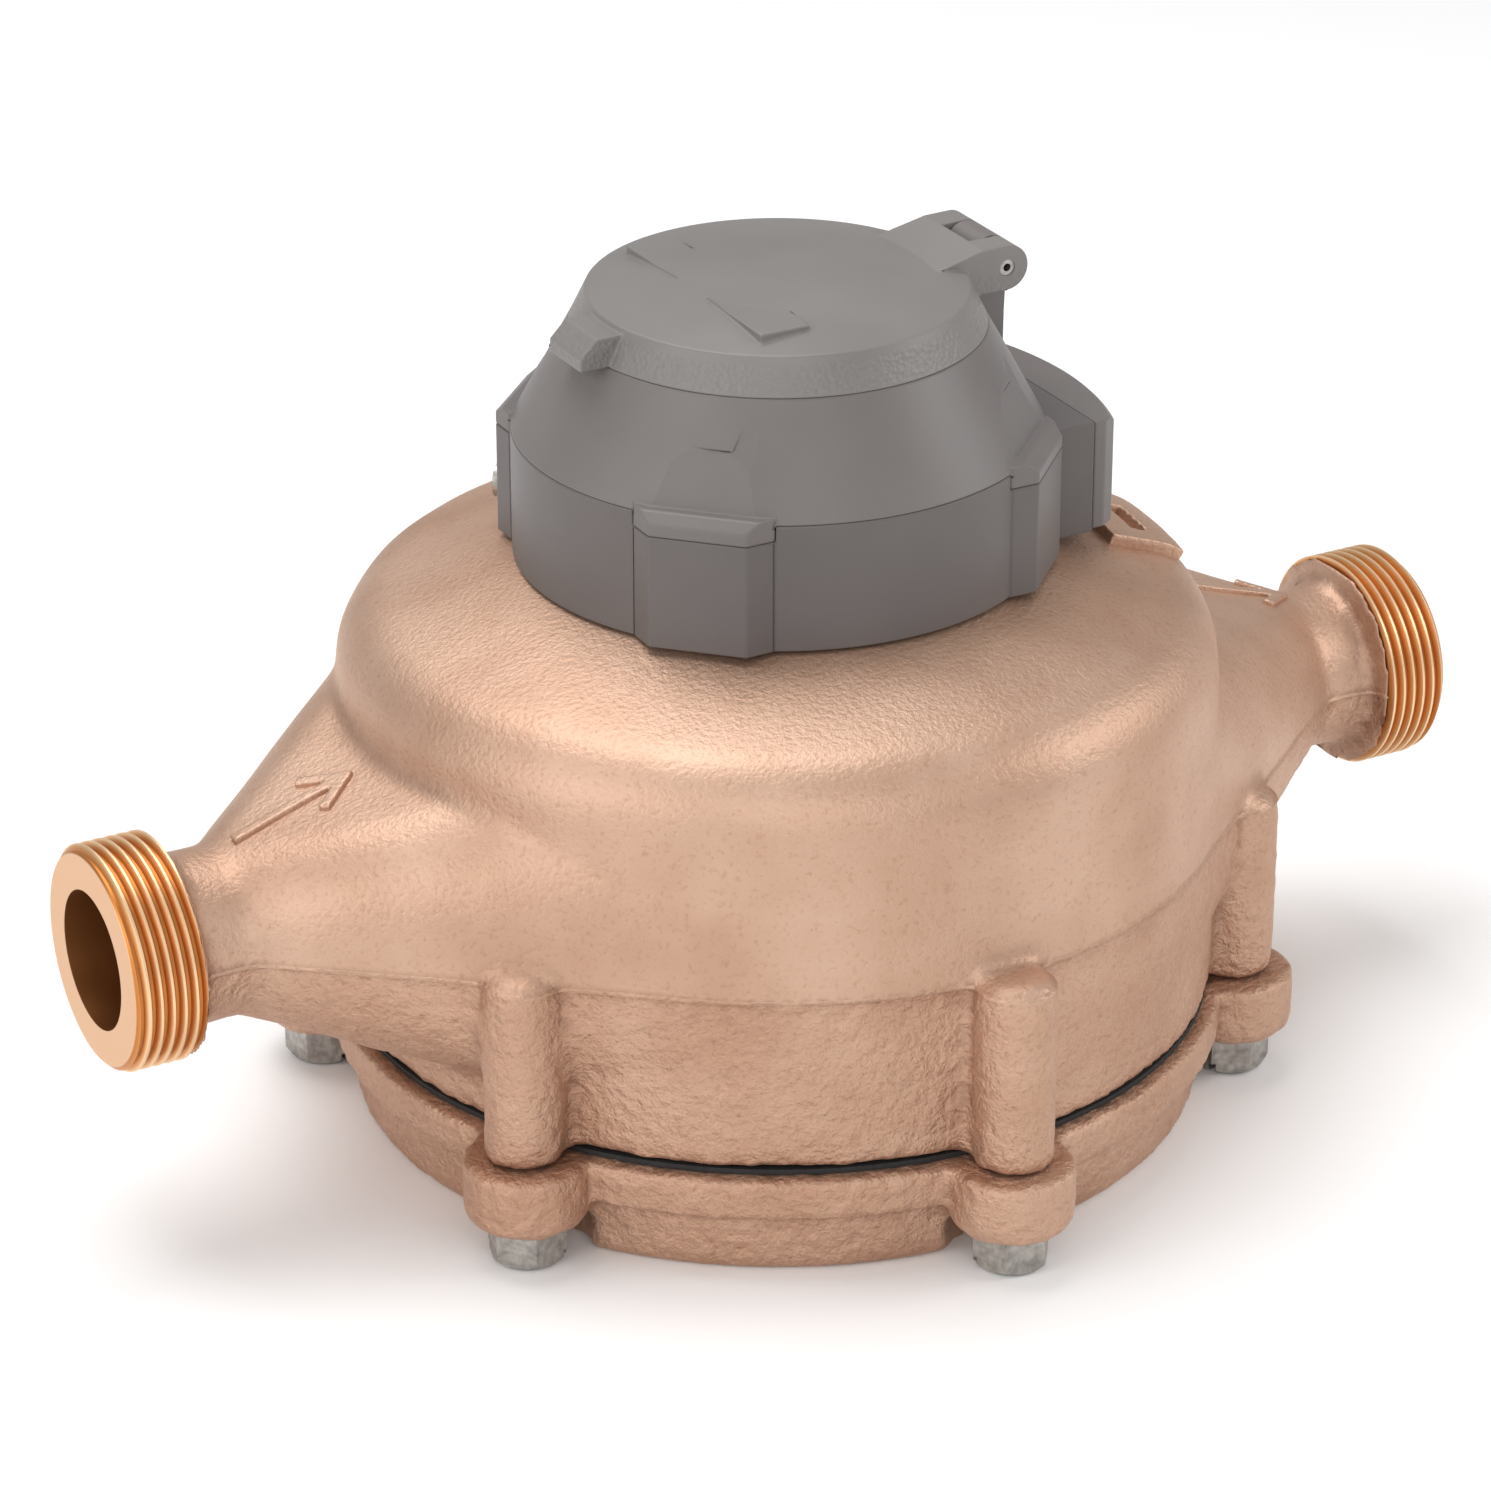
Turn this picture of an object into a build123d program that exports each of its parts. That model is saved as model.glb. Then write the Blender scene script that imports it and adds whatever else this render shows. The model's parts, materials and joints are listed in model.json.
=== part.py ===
"""Positive-displacement water meter for a 25 mm (1 in) service line, as an assembly of separate pieces.

A cast bronze housing holds a nutating-disc measuring chamber. The disc turns a magnet inside the
housing, which turns a second magnet in the sealed register above it. A gear train drives the sweep
hand, the leak indicator and six number wheels. A hinged lid covers the dial.

Frame: millimetres, +Z up, +X from inlet to outlet along the pipe, origin on the surface that the
meter stands on, below the centre of the drum.
"""
from build123d import *
import math
import os

# ---------------------------------------------------------------- driving dimensions
LAY_LENGTH = 273.05          # end to end, the standard length of a 25 mm meter
PIPE_Z = 55.0                # height of the pipe axis
SPUD_R = 20.6                # major radius of the 1-1/4 - 11.5 external thread
SPUD_LENGTH = 13.75          # threaded length of each spud
BORE_R = 12.7                # water way

DRUM_R = 82.0                # drum at the casting's parting line
DRUM_LOWER_R = 81.3          # below the parting line
DRUM_SHOULDER_R = 80.5       # where the shoulder begins
SHOULDER_Z = 84.7
SHOULDER_FILLET = 14.0
CROWN_SLOPE = 0.30           # fall of the crown per mm of radius
SEAT_R = 46.0                # flat seat of the register
SEAT_Z = 106.0
DRUM_BOTTOM_Z = 21.5
CAVITY_R = 77.0
CROWN_CAVITY_TOP_Z = 98.5

BOLT_COUNT = 6
BOLT_CIRCLE_R = 85.6
BOLT_FIRST_ANGLE = 30.0
BOLT_R = 3.95
BOLT_HOLE_R = 4.05
BOLT_HEAD_FLATS = 12.7
BOLT_HEAD_Z = 0.4
BOLT_TIP_Z = 42.0
BOSS_R = 7.4
BOSS_TOP_Z = 57.0

FLANGE_R = 83.5
FLANGE_TOP_Z = 20.5
FLANGE_BOTTOM_Z = 12.5
LUG_R = 11.4
LUG_BOTTOM_Z = 8.0
SKIRT_R = 79.5
SPIGOT_R = 76.6
COVER_RECESS_Z = 16.0        # underside of the cover's web

CHAMBER_Z = 55.0             # centre of the ball
CHAMBER_OUTER_R = 61.5
CHAMBER_HALF_HEIGHT = 25.0
DISC_R = 54.0
DISC_THICKNESS = 3.2
DISC_TILT = 12.0             # degrees
BALL_R = 15.0
SPINDLE_R = 2.5
SPINDLE_REACH = 32.5         # from the ball's centre to the spindle's tip
FIT_GAP = 0.35
PARTITION_THICKNESS = 1.6

REGISTER_BOTTOM_Z = 106.0
REGISTER_R = 48.0
SEAM_Z = 129.7               # joint of the base and the dome
LOBE_SEAM_Z = 126.9          # the same joint, lower at the four lobes
LEDGE_Z = 131.0              # top of the dome's ledge over each lobe
LOBE_ANGLES = (45.0, 135.0, -135.0, -45.0)
LOBE_REACH = 50.4
LOBE_WIDTH = 17.6
LOBE_FLARE = 3.9             # how far each sloped side of a lobe runs
FACET_LOW_R = 47.0           # leaning flat on the dome above each lobe
FACET_HIGH_R = 41.6
FACET_HEIGHT = 11.0
BOX_HALF_WIDTH = 23.8
BOX_SEAM_X = 52.3
BOX_OUTER_R = 61.6
BOX_TOP_Z = 127.6
SHELL = 2.4
LID_SEAM_Z = 149.0
LID_SEAM_R = 37.5
LID_RIM_Z = 155.6
LID_CROWN_Z = 158.9          # middle of the slightly domed top
LID_TOP_R = 34.3
HINGE_X = 41.2
HINGE_Z = 154.8
HINGE_HALF_WIDTH = 10.5
KNUCKLE_HALF_WIDTH = 4.5
KNUCKLE_R = 4.2
HINGE_PIN_R = 1.5

CAN_R = 34.0
CAN_WALL = 0.8
CAN_BOTTOM_Z = 108.9
CAN_TOP_Z = 146.8
DIAL_Z = 141.6               # underside of the dial plate
GEAR_MODULE = 0.55
COUNTER_MODULE = 0.4
COUNTER_X = 9.0
COUNTER_Z = 136.5
WHEEL_R = 4.9
WHEEL_WIDTH = 3.5
WHEEL_PITCH = 3.8
WHEEL_COUNT = 6
PIN_CROWN_R = 2.25


# ---------------------------------------------------------------- small helpers
def rod(radius, low, high, x=0.0, y=0.0):
    """Upright cylinder from one height to another."""
    return Pos(x, y, (low + high) / 2) * Cylinder(radius, high - low)


def ring(outer, inner, low, high, x=0.0, y=0.0):
    """Upright tube; the bore is cut right through."""
    return rod(outer, low, high, x, y) - rod(inner, low - 1, high + 1, x, y)


def block(x0, x1, y0, y1, z0, z1):
    """Box between two corners."""
    centre = Pos((x0 + x1) / 2, (y0 + y1) / 2, (z0 + z1) / 2)
    return centre * Box(x1 - x0, y1 - y0, z1 - z0)


def rod_x(radius, x0, x1, y=0.0, z=0.0):
    """Cylinder along X."""
    return Pos((x0 + x1) / 2, y, z) * Rot(0, 90, 0) * Cylinder(radius, x1 - x0)


def rod_y(radius, y0, y1, x=0.0, z=0.0):
    """Cylinder along Y."""
    return Pos(x, (y0 + y1) / 2, z) * Rot(90, 0, 0) * Cylinder(radius, y1 - y0)


def turned(*points):
    """Solid of revolution about Z from straight-sided (radius, height) points."""
    return revolve(Plane.XZ * make_face(Polyline(*points, close=True)), Axis.Z)


def polar(radius, angle):
    """Point at a radius and an angle in degrees."""
    turn = math.radians(angle)
    return radius * math.cos(turn), radius * math.sin(turn)


def bolt_places():
    """Centres of the cover bolts."""
    step = 360 / BOLT_COUNT
    return [polar(BOLT_CIRCLE_R, BOLT_FIRST_ANGLE + step * i) for i in range(BOLT_COUNT)]


def group(solids):
    """Several separate solids as one node."""
    return Compound(children=list(solids))


# ---------------------------------------------------------------- bronze castings and their fasteners
def fishtail(side):
    """Tapering water passage from a spud's neck to the drum, wide and tall at the drum."""
    neck_x, root_x = side * 112.0, side * 48.0
    neck_r = 15.5
    root_low, root_high = DRUM_BOTTOM_Z + 0.6, PIPE_Z + 37.0
    across = Plane(origin=(neck_x, 0, PIPE_Z), x_dir=(0, 1, 0), z_dir=(side, 0, 0))
    inner = Plane(origin=(root_x, 0, (root_low + root_high) / 2), x_dir=(0, 1, 0), z_dir=(side, 0, 0))
    small = across * RectangleRounded(2 * neck_r, 2 * neck_r, neck_r - 0.05)
    large = inner * RectangleRounded(2 * 66.0, root_high - root_low, 24.0)
    return loft([small, large], ruled=True)


def spud(side):
    """Neck and threaded end of one side."""
    end = LAY_LENGTH / 2
    neck = rod_x(15.5, 108.0, end - SPUD_LENGTH + 1, z=PIPE_Z)
    thread = rod_x(SPUD_R, end - SPUD_LENGTH, end, z=PIPE_Z)
    thread = chamfer(thread.edges().group_by(Axis.X)[-1], 1.6)
    both = neck + thread
    return both if side > 0 else Rot(0, 0, 180) * both


def water_way(side):
    """Passage that widens from the bore to the drum's inside."""
    throat = Plane(origin=(side * 100.0, 0, PIPE_Z), x_dir=(0, 1, 0), z_dir=(side, 0, 0))
    mouth = Plane(origin=(side * 70.0, 0, PIPE_Z), x_dir=(0, 1, 0), z_dir=(side, 0, 0))
    small = throat * RectangleRounded(2 * BORE_R, 2 * BORE_R, BORE_R - 0.05)
    large = mouth * RectangleRounded(74.0, 38.0, 17.0)
    return loft([small, large], ruled=True)


def drum():
    """Outside of the drum, turned: lower wall, parting step, drafted wall, shoulder and crown."""
    centre_r = DRUM_SHOULDER_R - SHOULDER_FILLET
    end = polar(SHOULDER_FILLET, 90 - math.degrees(math.atan(CROWN_SLOPE)))
    middle = polar(SHOULDER_FILLET, 40)
    wall = Polyline(
        (0, DRUM_BOTTOM_Z), (DRUM_LOWER_R, DRUM_BOTTOM_Z), (DRUM_LOWER_R, PIPE_Z),
        (DRUM_R, PIPE_Z), (DRUM_SHOULDER_R, SHOULDER_Z),
    )
    shoulder = ThreePointArc(
        (DRUM_SHOULDER_R, SHOULDER_Z), (centre_r + middle[0], SHOULDER_Z + middle[1]),
        (centre_r + end[0], SHOULDER_Z + end[1])
    )
    crown = Polyline((centre_r + end[0], SHOULDER_Z + end[1]), (SEAT_R, SEAT_Z), (0, SEAT_Z), (0, DRUM_BOTTOM_Z))
    return revolve(Plane.XZ * make_face([wall, shoulder, crown]), Axis.Z)


def main_housing():
    """One casting: drum, two water passages, six bolt bosses and the two spuds."""
    body = drum() + fishtail(1) + fishtail(-1) + spud(1) + spud(-1)
    for x, y in bolt_places():
        boss = rod(BOSS_R, FLANGE_TOP_Z, BOSS_TOP_Z, x, y)
        boss = fillet(boss.edges().group_by(Axis.Z)[-1], 3.5)
        body += boss
    body -= turned((0, DRUM_BOTTOM_Z - 1), (CAVITY_R, DRUM_BOTTOM_Z - 1), (CAVITY_R, 26.0), (75.2, 80.0), (69.0, 88.0),
                   (48.0, 94.5), (30.0, CROWN_CAVITY_TOP_Z), (0, CROWN_CAVITY_TOP_Z))
    body -= rod_x(BORE_R, -LAY_LENGTH, LAY_LENGTH, z=PIPE_Z)
    body -= water_way(1) + water_way(-1)
    for x, y in bolt_places():
        body -= rod(BOLT_HOLE_R, DRUM_BOTTOM_Z - 3, BOLT_TIP_Z + 2, x, y)
    return body


def bottom_cover():
    """Bolted cover: flange with six thick lugs, a standing skirt and a spigot for the chamber."""
    body = rod(FLANGE_R, FLANGE_BOTTOM_Z, FLANGE_TOP_Z)
    skirt = rod(SKIRT_R, 0, FLANGE_BOTTOM_Z + 0.5)
    skirt = fillet(skirt.edges().group_by(Axis.Z)[0], 2.0)
    for x, y in bolt_places():
        skirt -= rod(LUG_R, -1, FLANGE_BOTTOM_Z + 1, x, y)
    body += skirt
    for x, y in bolt_places():
        lug = rod(LUG_R, LUG_BOTTOM_Z, FLANGE_TOP_Z, x, y)
        lug = fillet(lug.edges().group_by(Axis.Z)[0], 3.0)
        body += lug
        body -= rod(BOLT_HOLE_R + 0.15, -1, FLANGE_TOP_Z + 1, x, y)
    body -= rod(68.0, -1, COVER_RECESS_Z)
    for i in range(BOLT_COUNT):
        body += Rot(0, 0, 60 * i) * block(17.0, 69.0, -2.0, 2.0, COVER_RECESS_Z - 6, COVER_RECESS_Z + 1)
    body += ring(20.0, 15.0, COVER_RECESS_Z - 6, COVER_RECESS_Z + 1)
    body += rod(SPIGOT_R, FLANGE_TOP_Z - 0.5, FLANGE_TOP_Z + 3.5)
    return body


def cover_bolts():
    """Six slotted hex-head screws, driven up through the lugs."""
    bolts = []
    across_corners = BOLT_HEAD_FLATS / math.sqrt(3)
    for i, (x, y) in enumerate(bolt_places()):
        head = extrude(RegularPolygon(across_corners, 6), LUG_BOTTOM_Z - BOLT_HEAD_Z)
        head &= turned((0, 0), (across_corners - 1.2, 0), (across_corners + 0.1, 1.2), (across_corners + 0.1, 9), (0, 9))
        slot = block(-9, 9, -0.75, 0.75, -1, 2.0)
        shank = rod(BOLT_R, 0.5, BOLT_TIP_Z - BOLT_HEAD_Z)
        bolts.append(Pos(x, y, BOLT_HEAD_Z) * Rot(0, 0, 25.0 + 37.0 * i) * (head + shank - slot))
    return group(bolts)


def cover_gasket():
    """Flat rubber ring between the housing and the cover."""
    gasket = ring(80.6, CAVITY_R, FLANGE_TOP_Z, DRUM_BOTTOM_Z)
    for x, y in bolt_places():
        gasket -= rod(BOSS_R + 0.1, FLANGE_TOP_Z - 1, DRUM_BOTTOM_Z + 1, x, y)
    return gasket


# ---------------------------------------------------------------- measuring chamber
def chamber_space():
    """Free space in the chamber: a sphere cut by two cones, with sockets for the ball."""
    slope = math.tan(math.radians(DISC_TILT))
    half = DISC_THICKNESS / 2 / math.cos(math.radians(DISC_TILT)) + FIT_GAP
    socket_r, wall_r = BALL_R + FIT_GAP, DISC_R + FIT_GAP

    def meet(radius):
        """Where the cone's line meets a sphere of this radius."""
        a, b, c = 1 + slope ** 2, 2 * half * slope, half ** 2 - radius ** 2
        r = (-b + math.sqrt(b * b - 4 * a * c)) / (2 * a)
        return r, half + r * slope

    inner_r, inner_z = meet(socket_r)
    outer_r, outer_z = meet(wall_r)
    bend = polar(socket_r, 68)
    low_ball = ThreePointArc((0, -socket_r), (bend[0], -bend[1]), (inner_r, -inner_z))
    low_cone = Line((inner_r, -inner_z), (outer_r, -outer_z))
    wall = ThreePointArc((outer_r, -outer_z), (wall_r, 0), (outer_r, outer_z))
    high_cone = Line((outer_r, outer_z), (inner_r, inner_z))
    high_ball = ThreePointArc((inner_r, inner_z), (bend[0], bend[1]), (0, socket_r))
    axis = Line((0, socket_r), (0, -socket_r))
    face = make_face([low_ball, low_cone, wall, high_cone, high_ball, axis])
    return Pos(0, 0, CHAMBER_Z) * revolve(Plane.XZ * face, Axis.Z)


def chamber_half(top):
    """One moulded half of the chamber, with a port beside the partition."""
    low, high = (CHAMBER_Z, CHAMBER_Z + CHAMBER_HALF_HEIGHT) if top else (CHAMBER_Z - CHAMBER_HALF_HEIGHT, CHAMBER_Z)
    half = rod(CHAMBER_OUTER_R, low, high) - chamber_space()
    gap = PARTITION_THICKNESS / 2 + 0.1
    half -= block(BALL_R - 3, DISC_R + 2.6, -gap, gap, low - 1, high + 1) & rod(DISC_R + 2.5, CHAMBER_Z - 13.6, CHAMBER_Z + 13.6)
    if top:
        half -= rod(9.5, CHAMBER_Z + 5, high + 1)
        half -= block(DISC_R - 12, 80, 2.5, 22.0, low + 1.5, low + 9.0)
    else:
        half -= block(DISC_R - 12, 80, -22.0, -2.5, high - 9.0, high - 1.5)
        half -= rod(30.0, low - 1, low + 3.0)
    return half


def partition_plate():
    """Thin plate across the chamber between its two ports; the disc's slot straddles it."""
    plate = block(BALL_R + 1.0, DISC_R + 2.4, -PARTITION_THICKNESS / 2, PARTITION_THICKNESS / 2,
                  CHAMBER_Z - 13.5, CHAMBER_Z + 13.5)
    return plate


def tilted(shape):
    """Puts a shape made about the chamber's centre on the disc's leaning axis at rest."""
    return Pos(0, 0, CHAMBER_Z) * Rot(0, -DISC_TILT, 0) * shape


def nutating_disc():
    """Moulded disc and ball, with the slot that straddles the partition."""
    rim = DISC_R * math.cos(math.asin(DISC_THICKNESS / 2 / DISC_R)) - 0.1
    disc = Cylinder(rim, DISC_THICKNESS) + Sphere(BALL_R)
    slot_half = PARTITION_THICKNESS / 2 + 1.3
    disc -= block(BALL_R - 1.5, DISC_R + 5, -slot_half, slot_half, -9, 9)
    disc -= Pos(0, 0, BALL_R) * Cylinder(SPINDLE_R, 2 * BALL_R)
    return tilted(disc)


def disc_spindle():
    """Steel pin pressed into the ball; its tip drives the follower."""
    pin = rod(SPINDLE_R - 0.02, 0.1, SPINDLE_REACH)
    return tilted(chamfer(pin.edges().group_by(Axis.Z)[-1], 0.6))


def strainer():
    """Perforated ring round the chamber, which keeps grit out of it."""
    low, high = 27.0, 84.0
    wall = ring(66.0, 63.6, low, high)
    opening = Pos(64.8, 0, 0) * Rot(0, 90, 0) * Cylinder(2.6, 6.0)
    holes = []
    for row in range(5):
        for i in range(24):
            angle = 15.0 * i + 7.5 * (row % 2)
            if not -26 < (angle + 180) % 360 - 180 < 26:
                holes.append(Rot(0, 0, angle) * Pos(0, 0, low + 8.5 + 10.0 * row) * opening)
    wall -= holes
    wall -= block(50, 80, -25.0, 25.0, low + 12, high - 12)
    return wall


def outlet_seal():
    """Rubber ring that seals the outlet duct to the housing."""
    return rod_x(14.6, 68.4, 71.2, z=PIPE_Z) - rod_x(BORE_R, 60, 80, z=PIPE_Z)


def outlet_duct():
    """Moulded duct from the chamber's outlet port to the housing's outlet."""
    duct = rod_x(14.6, 66.6, 68.3, z=PIPE_Z) - rod_x(BORE_R, 60, 80, z=PIPE_Z)
    return duct


def chamber_spacer():
    """Ring on the cover that carries the chamber."""
    return ring(60.0, 52.0, FLANGE_TOP_Z + 3.5, CHAMBER_Z - CHAMBER_HALF_HEIGHT)


# ---------------------------------------------------------------- magnetic drive
def follower():
    """Carrier on the bearing pin, with an arm that the disc's spindle pushes round."""
    tip_r = SPINDLE_REACH * math.sin(math.radians(DISC_TILT))
    hub = rod(12.0, 86.4, 88.4) + rod(4.0, 88.3, 96.4)
    hub -= rod(1.6, 85.0, 97.0)
    arm_hole = tilted(Cylinder(SPINDLE_R + 0.04, 100))
    return hub - arm_hole + Pos(-tip_r, 0, 0) * ring(5.5, 3.6, 84.6, 86.5)


def drive_magnet():
    """Ring magnet on the follower."""
    return ring(11.5, 4.0, 88.4, 95.4)


def bearing_pin():
    """Fixed steel pin in the housing's crown; the follower turns on it."""
    return rod(1.5, 87.2, CROWN_CAVITY_TOP_Z) + rod(3.0, 97.0, CROWN_CAVITY_TOP_Z)


# ---------------------------------------------------------------- register shrouds
def lobe(angle, low, high, reach=LOBE_REACH, width=LOBE_WIDTH):
    """Flat-faced lobe with sloped sides on the shroud at one angle."""
    half, root = width / 2, reach - LOBE_FLARE
    plan = Polyline((30, -half - LOBE_FLARE), (root, -half - LOBE_FLARE), (reach, -half), (reach, half),
                    (root, half + LOBE_FLARE), (30, half + LOBE_FLARE), close=True)
    return Rot(0, 0, angle) * Pos(0, 0, low) * extrude(make_face(plan), high - low)


def box_outline(low, high, seam):
    """Terminal box at the back of the base, up to the seam plane."""
    side = BOX_HALF_WIDTH
    outline = Polyline((20, -side), (seam, -side), (seam, side), (20, side), close=True)
    return Pos(0, 0, low) * extrude(make_face(outline), high - low)


def dome_cone(low, high, grow=0.0):
    """Slanted wall of the dome between two heights, extended along the same slope."""
    slope = (LID_SEAM_R - REGISTER_R) / (LID_SEAM_Z - SEAM_Z)
    r_low, r_high = (REGISTER_R + slope * (z - SEAM_Z) + grow for z in (low, high))
    return turned((0, low), (r_low, low), (r_high, high), (0, high))


def register_base():
    """Lower shroud: round cup with four lobes and the terminal box, open at the top."""
    cup = rod(REGISTER_R, REGISTER_BOTTOM_Z, SEAM_Z)
    for angle in LOBE_ANGLES:
        cup += lobe(angle, REGISTER_BOTTOM_Z, LOBE_SEAM_Z)
    cup += box_outline(REGISTER_BOTTOM_Z, BOX_TOP_Z, BOX_SEAM_X)
    cup -= rod(REGISTER_R - SHELL, REGISTER_BOTTOM_Z + SHELL, SEAM_Z + 1)
    cup -= block(46.0, BOX_SEAM_X + 1, -BOX_HALF_WIDTH + SHELL, BOX_HALF_WIDTH - SHELL,
                 REGISTER_BOTTOM_Z + SHELL, BOX_TOP_Z - SHELL)
    for y in (-16.5, 16.5):
        cup += rod_x(3.6, 46.0, BOX_SEAM_X, y, 117.0)
        cup -= rod_x(1.5, 49.0, 60, y, 117.0)
    cup -= rod(30.0, REGISTER_BOTTOM_Z - 1, REGISTER_BOTTOM_Z + 5)
    seat = Rot(0, 0, 135) * block(48.0, LOBE_REACH + 1.2, -3.6, 3.6, REGISTER_BOTTOM_Z + 0.4, 117.0)
    cup += seat
    cup -= Rot(0, 0, 135) * rod_x(2.05, 40, 60, z=112.0)
    for angle in LOBE_ANGLES:
        cup -= Rot(0, 0, angle) * block(40.0, LOBE_REACH + 1, -LOBE_WIDTH / 2 - LOBE_FLARE - 0.1,
                                       LOBE_WIDTH / 2 + LOBE_FLARE + 0.1, LOBE_SEAM_Z, SEAM_Z + 1)
    return cup


def register_dome():
    """Upper shroud: slanted wall, four ledges, a window for the dial and the hinge post."""
    dome = dome_cone(SEAM_Z, LID_SEAM_Z)
    for angle in LOBE_ANGLES:
        lean = Polyline((FACET_LOW_R, SEAM_Z), (FACET_HIGH_R, SEAM_Z + FACET_HEIGHT), (60, SEAM_Z + FACET_HEIGHT),
                        (60, SEAM_Z), close=True)
        dome -= Rot(0, 0, angle) * Pos(0, 20, 0) * extrude(Plane.XZ * make_face(lean), 40)
        ledge = lobe(angle, LOBE_SEAM_Z, LEDGE_Z)
        slope = Polyline((LOBE_REACH - 2.2, LEDGE_Z + 0.1), (LOBE_REACH + 0.1, LEDGE_Z + 0.1),
                         (LOBE_REACH + 0.1, LEDGE_Z - 1.9), close=True)
        dome += ledge - Rot(0, 0, angle) * Pos(0, 20, 0) * extrude(Plane.XZ * make_face(slope), 40)
    post = block(24.0, HINGE_X + 3.2, -KNUCKLE_HALF_WIDTH, KNUCKLE_HALF_WIDTH, SEAM_Z, HINGE_Z)
    post += rod_y(KNUCKLE_R, -KNUCKLE_HALF_WIDTH, KNUCKLE_HALF_WIDTH, HINGE_X, HINGE_Z)
    post -= block(20.0, HINGE_X - KNUCKLE_R, -9, 9, LID_SEAM_Z, 170)
    dome += post
    inner = dome_cone(SEAM_Z - 1, LID_SEAM_Z - SHELL, -SHELL * 1.15)
    inner += rod(REGISTER_R - SHELL - 1.2, LOBE_SEAM_Z - 1, SEAM_Z + 0.01)
    inner = inner + rod(CAN_R + 0.1, SEAM_Z - 2, LID_SEAM_Z + 1)
    dome -= inner
    dome -= rod_y(HINGE_PIN_R, -20, 20, HINGE_X, HINGE_Z)
    return dome


def box_cover():
    """Curved cover on the back of the terminal box."""
    side = BOX_HALF_WIDTH
    plan = block(BOX_SEAM_X, 70, -side, side, REGISTER_BOTTOM_Z + 0.6, BOX_TOP_Z)
    plan &= rod(BOX_OUTER_R, REGISTER_BOTTOM_Z, BOX_TOP_Z + 1)
    upright = plan.edges().filter_by(Axis.Z).sort_by(Axis.X)[-2:]
    plan = chamfer(upright, 2.2)
    top = plan.faces().sort_by(Axis.Z)[-1]
    plan = chamfer(top.edges().sort_by(Axis.X)[-1], 1.2)
    hollow = block(BOX_SEAM_X - 1, 70, -side + SHELL, side - SHELL, REGISTER_BOTTOM_Z + SHELL + 0.6, BOX_TOP_Z - SHELL)
    hollow &= rod(BOX_OUTER_R - SHELL, REGISTER_BOTTOM_Z, BOX_TOP_Z)
    plan -= hollow
    for y in (-16.5, 16.5):
        plan += rod_x(4.2, BOX_SEAM_X, 57.6, y, 117.0)
        plan -= rod_x(1.55, 40, 70, y, 117.0) + rod_x(3.1, 56.6, 70, y, 117.0)
    return plan


def box_cover_screws():
    """Two pan-head screws that hold the box cover."""
    screws = []
    for y in (-16.5, 16.5):
        head = rod_x(2.9, 56.6, 58.2, y, 117.0)
        shank = rod_x(1.5, BOX_SEAM_X - 1.9, 56.7, y, 117.0)
        slot = block(57.4, 59, y - 0.4, y + 0.4, 112, 122)
        screws.append(head + shank - slot)
    return group(screws)


def terminal_board():
    """Small circuit board inside the terminal box."""
    return block(BOX_SEAM_X - 2.4, BOX_SEAM_X - 0.8, -12.0, 12.0, 111.0, 124.0)


def terminal_screws():
    """Three wire terminals on the board."""
    posts = []
    for y in (-7.5, 0.0, 7.5):
        post = rod_x(2.6, BOX_SEAM_X - 0.8, BOX_SEAM_X + 3.5, y, 117.5)
        post -= block(BOX_SEAM_X + 2.7, BOX_SEAM_X + 5, y - 0.4, y + 0.4, 110, 125)
        posts.append(post)
    return group(posts)


def seal_screw():
    """Tamper-resistant screw through the base's lobe."""
    screw = rod_x(2.0, 41.0, LOBE_REACH + 1.3, z=112.0) + rod_x(3.2, LOBE_REACH + 1.2, LOBE_REACH + 2.9, z=112.0)
    screw -= rod_x(1.2, LOBE_REACH + 2.0, LOBE_REACH + 5, z=112.0)
    return Rot(0, 0, 135) * screw


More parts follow.
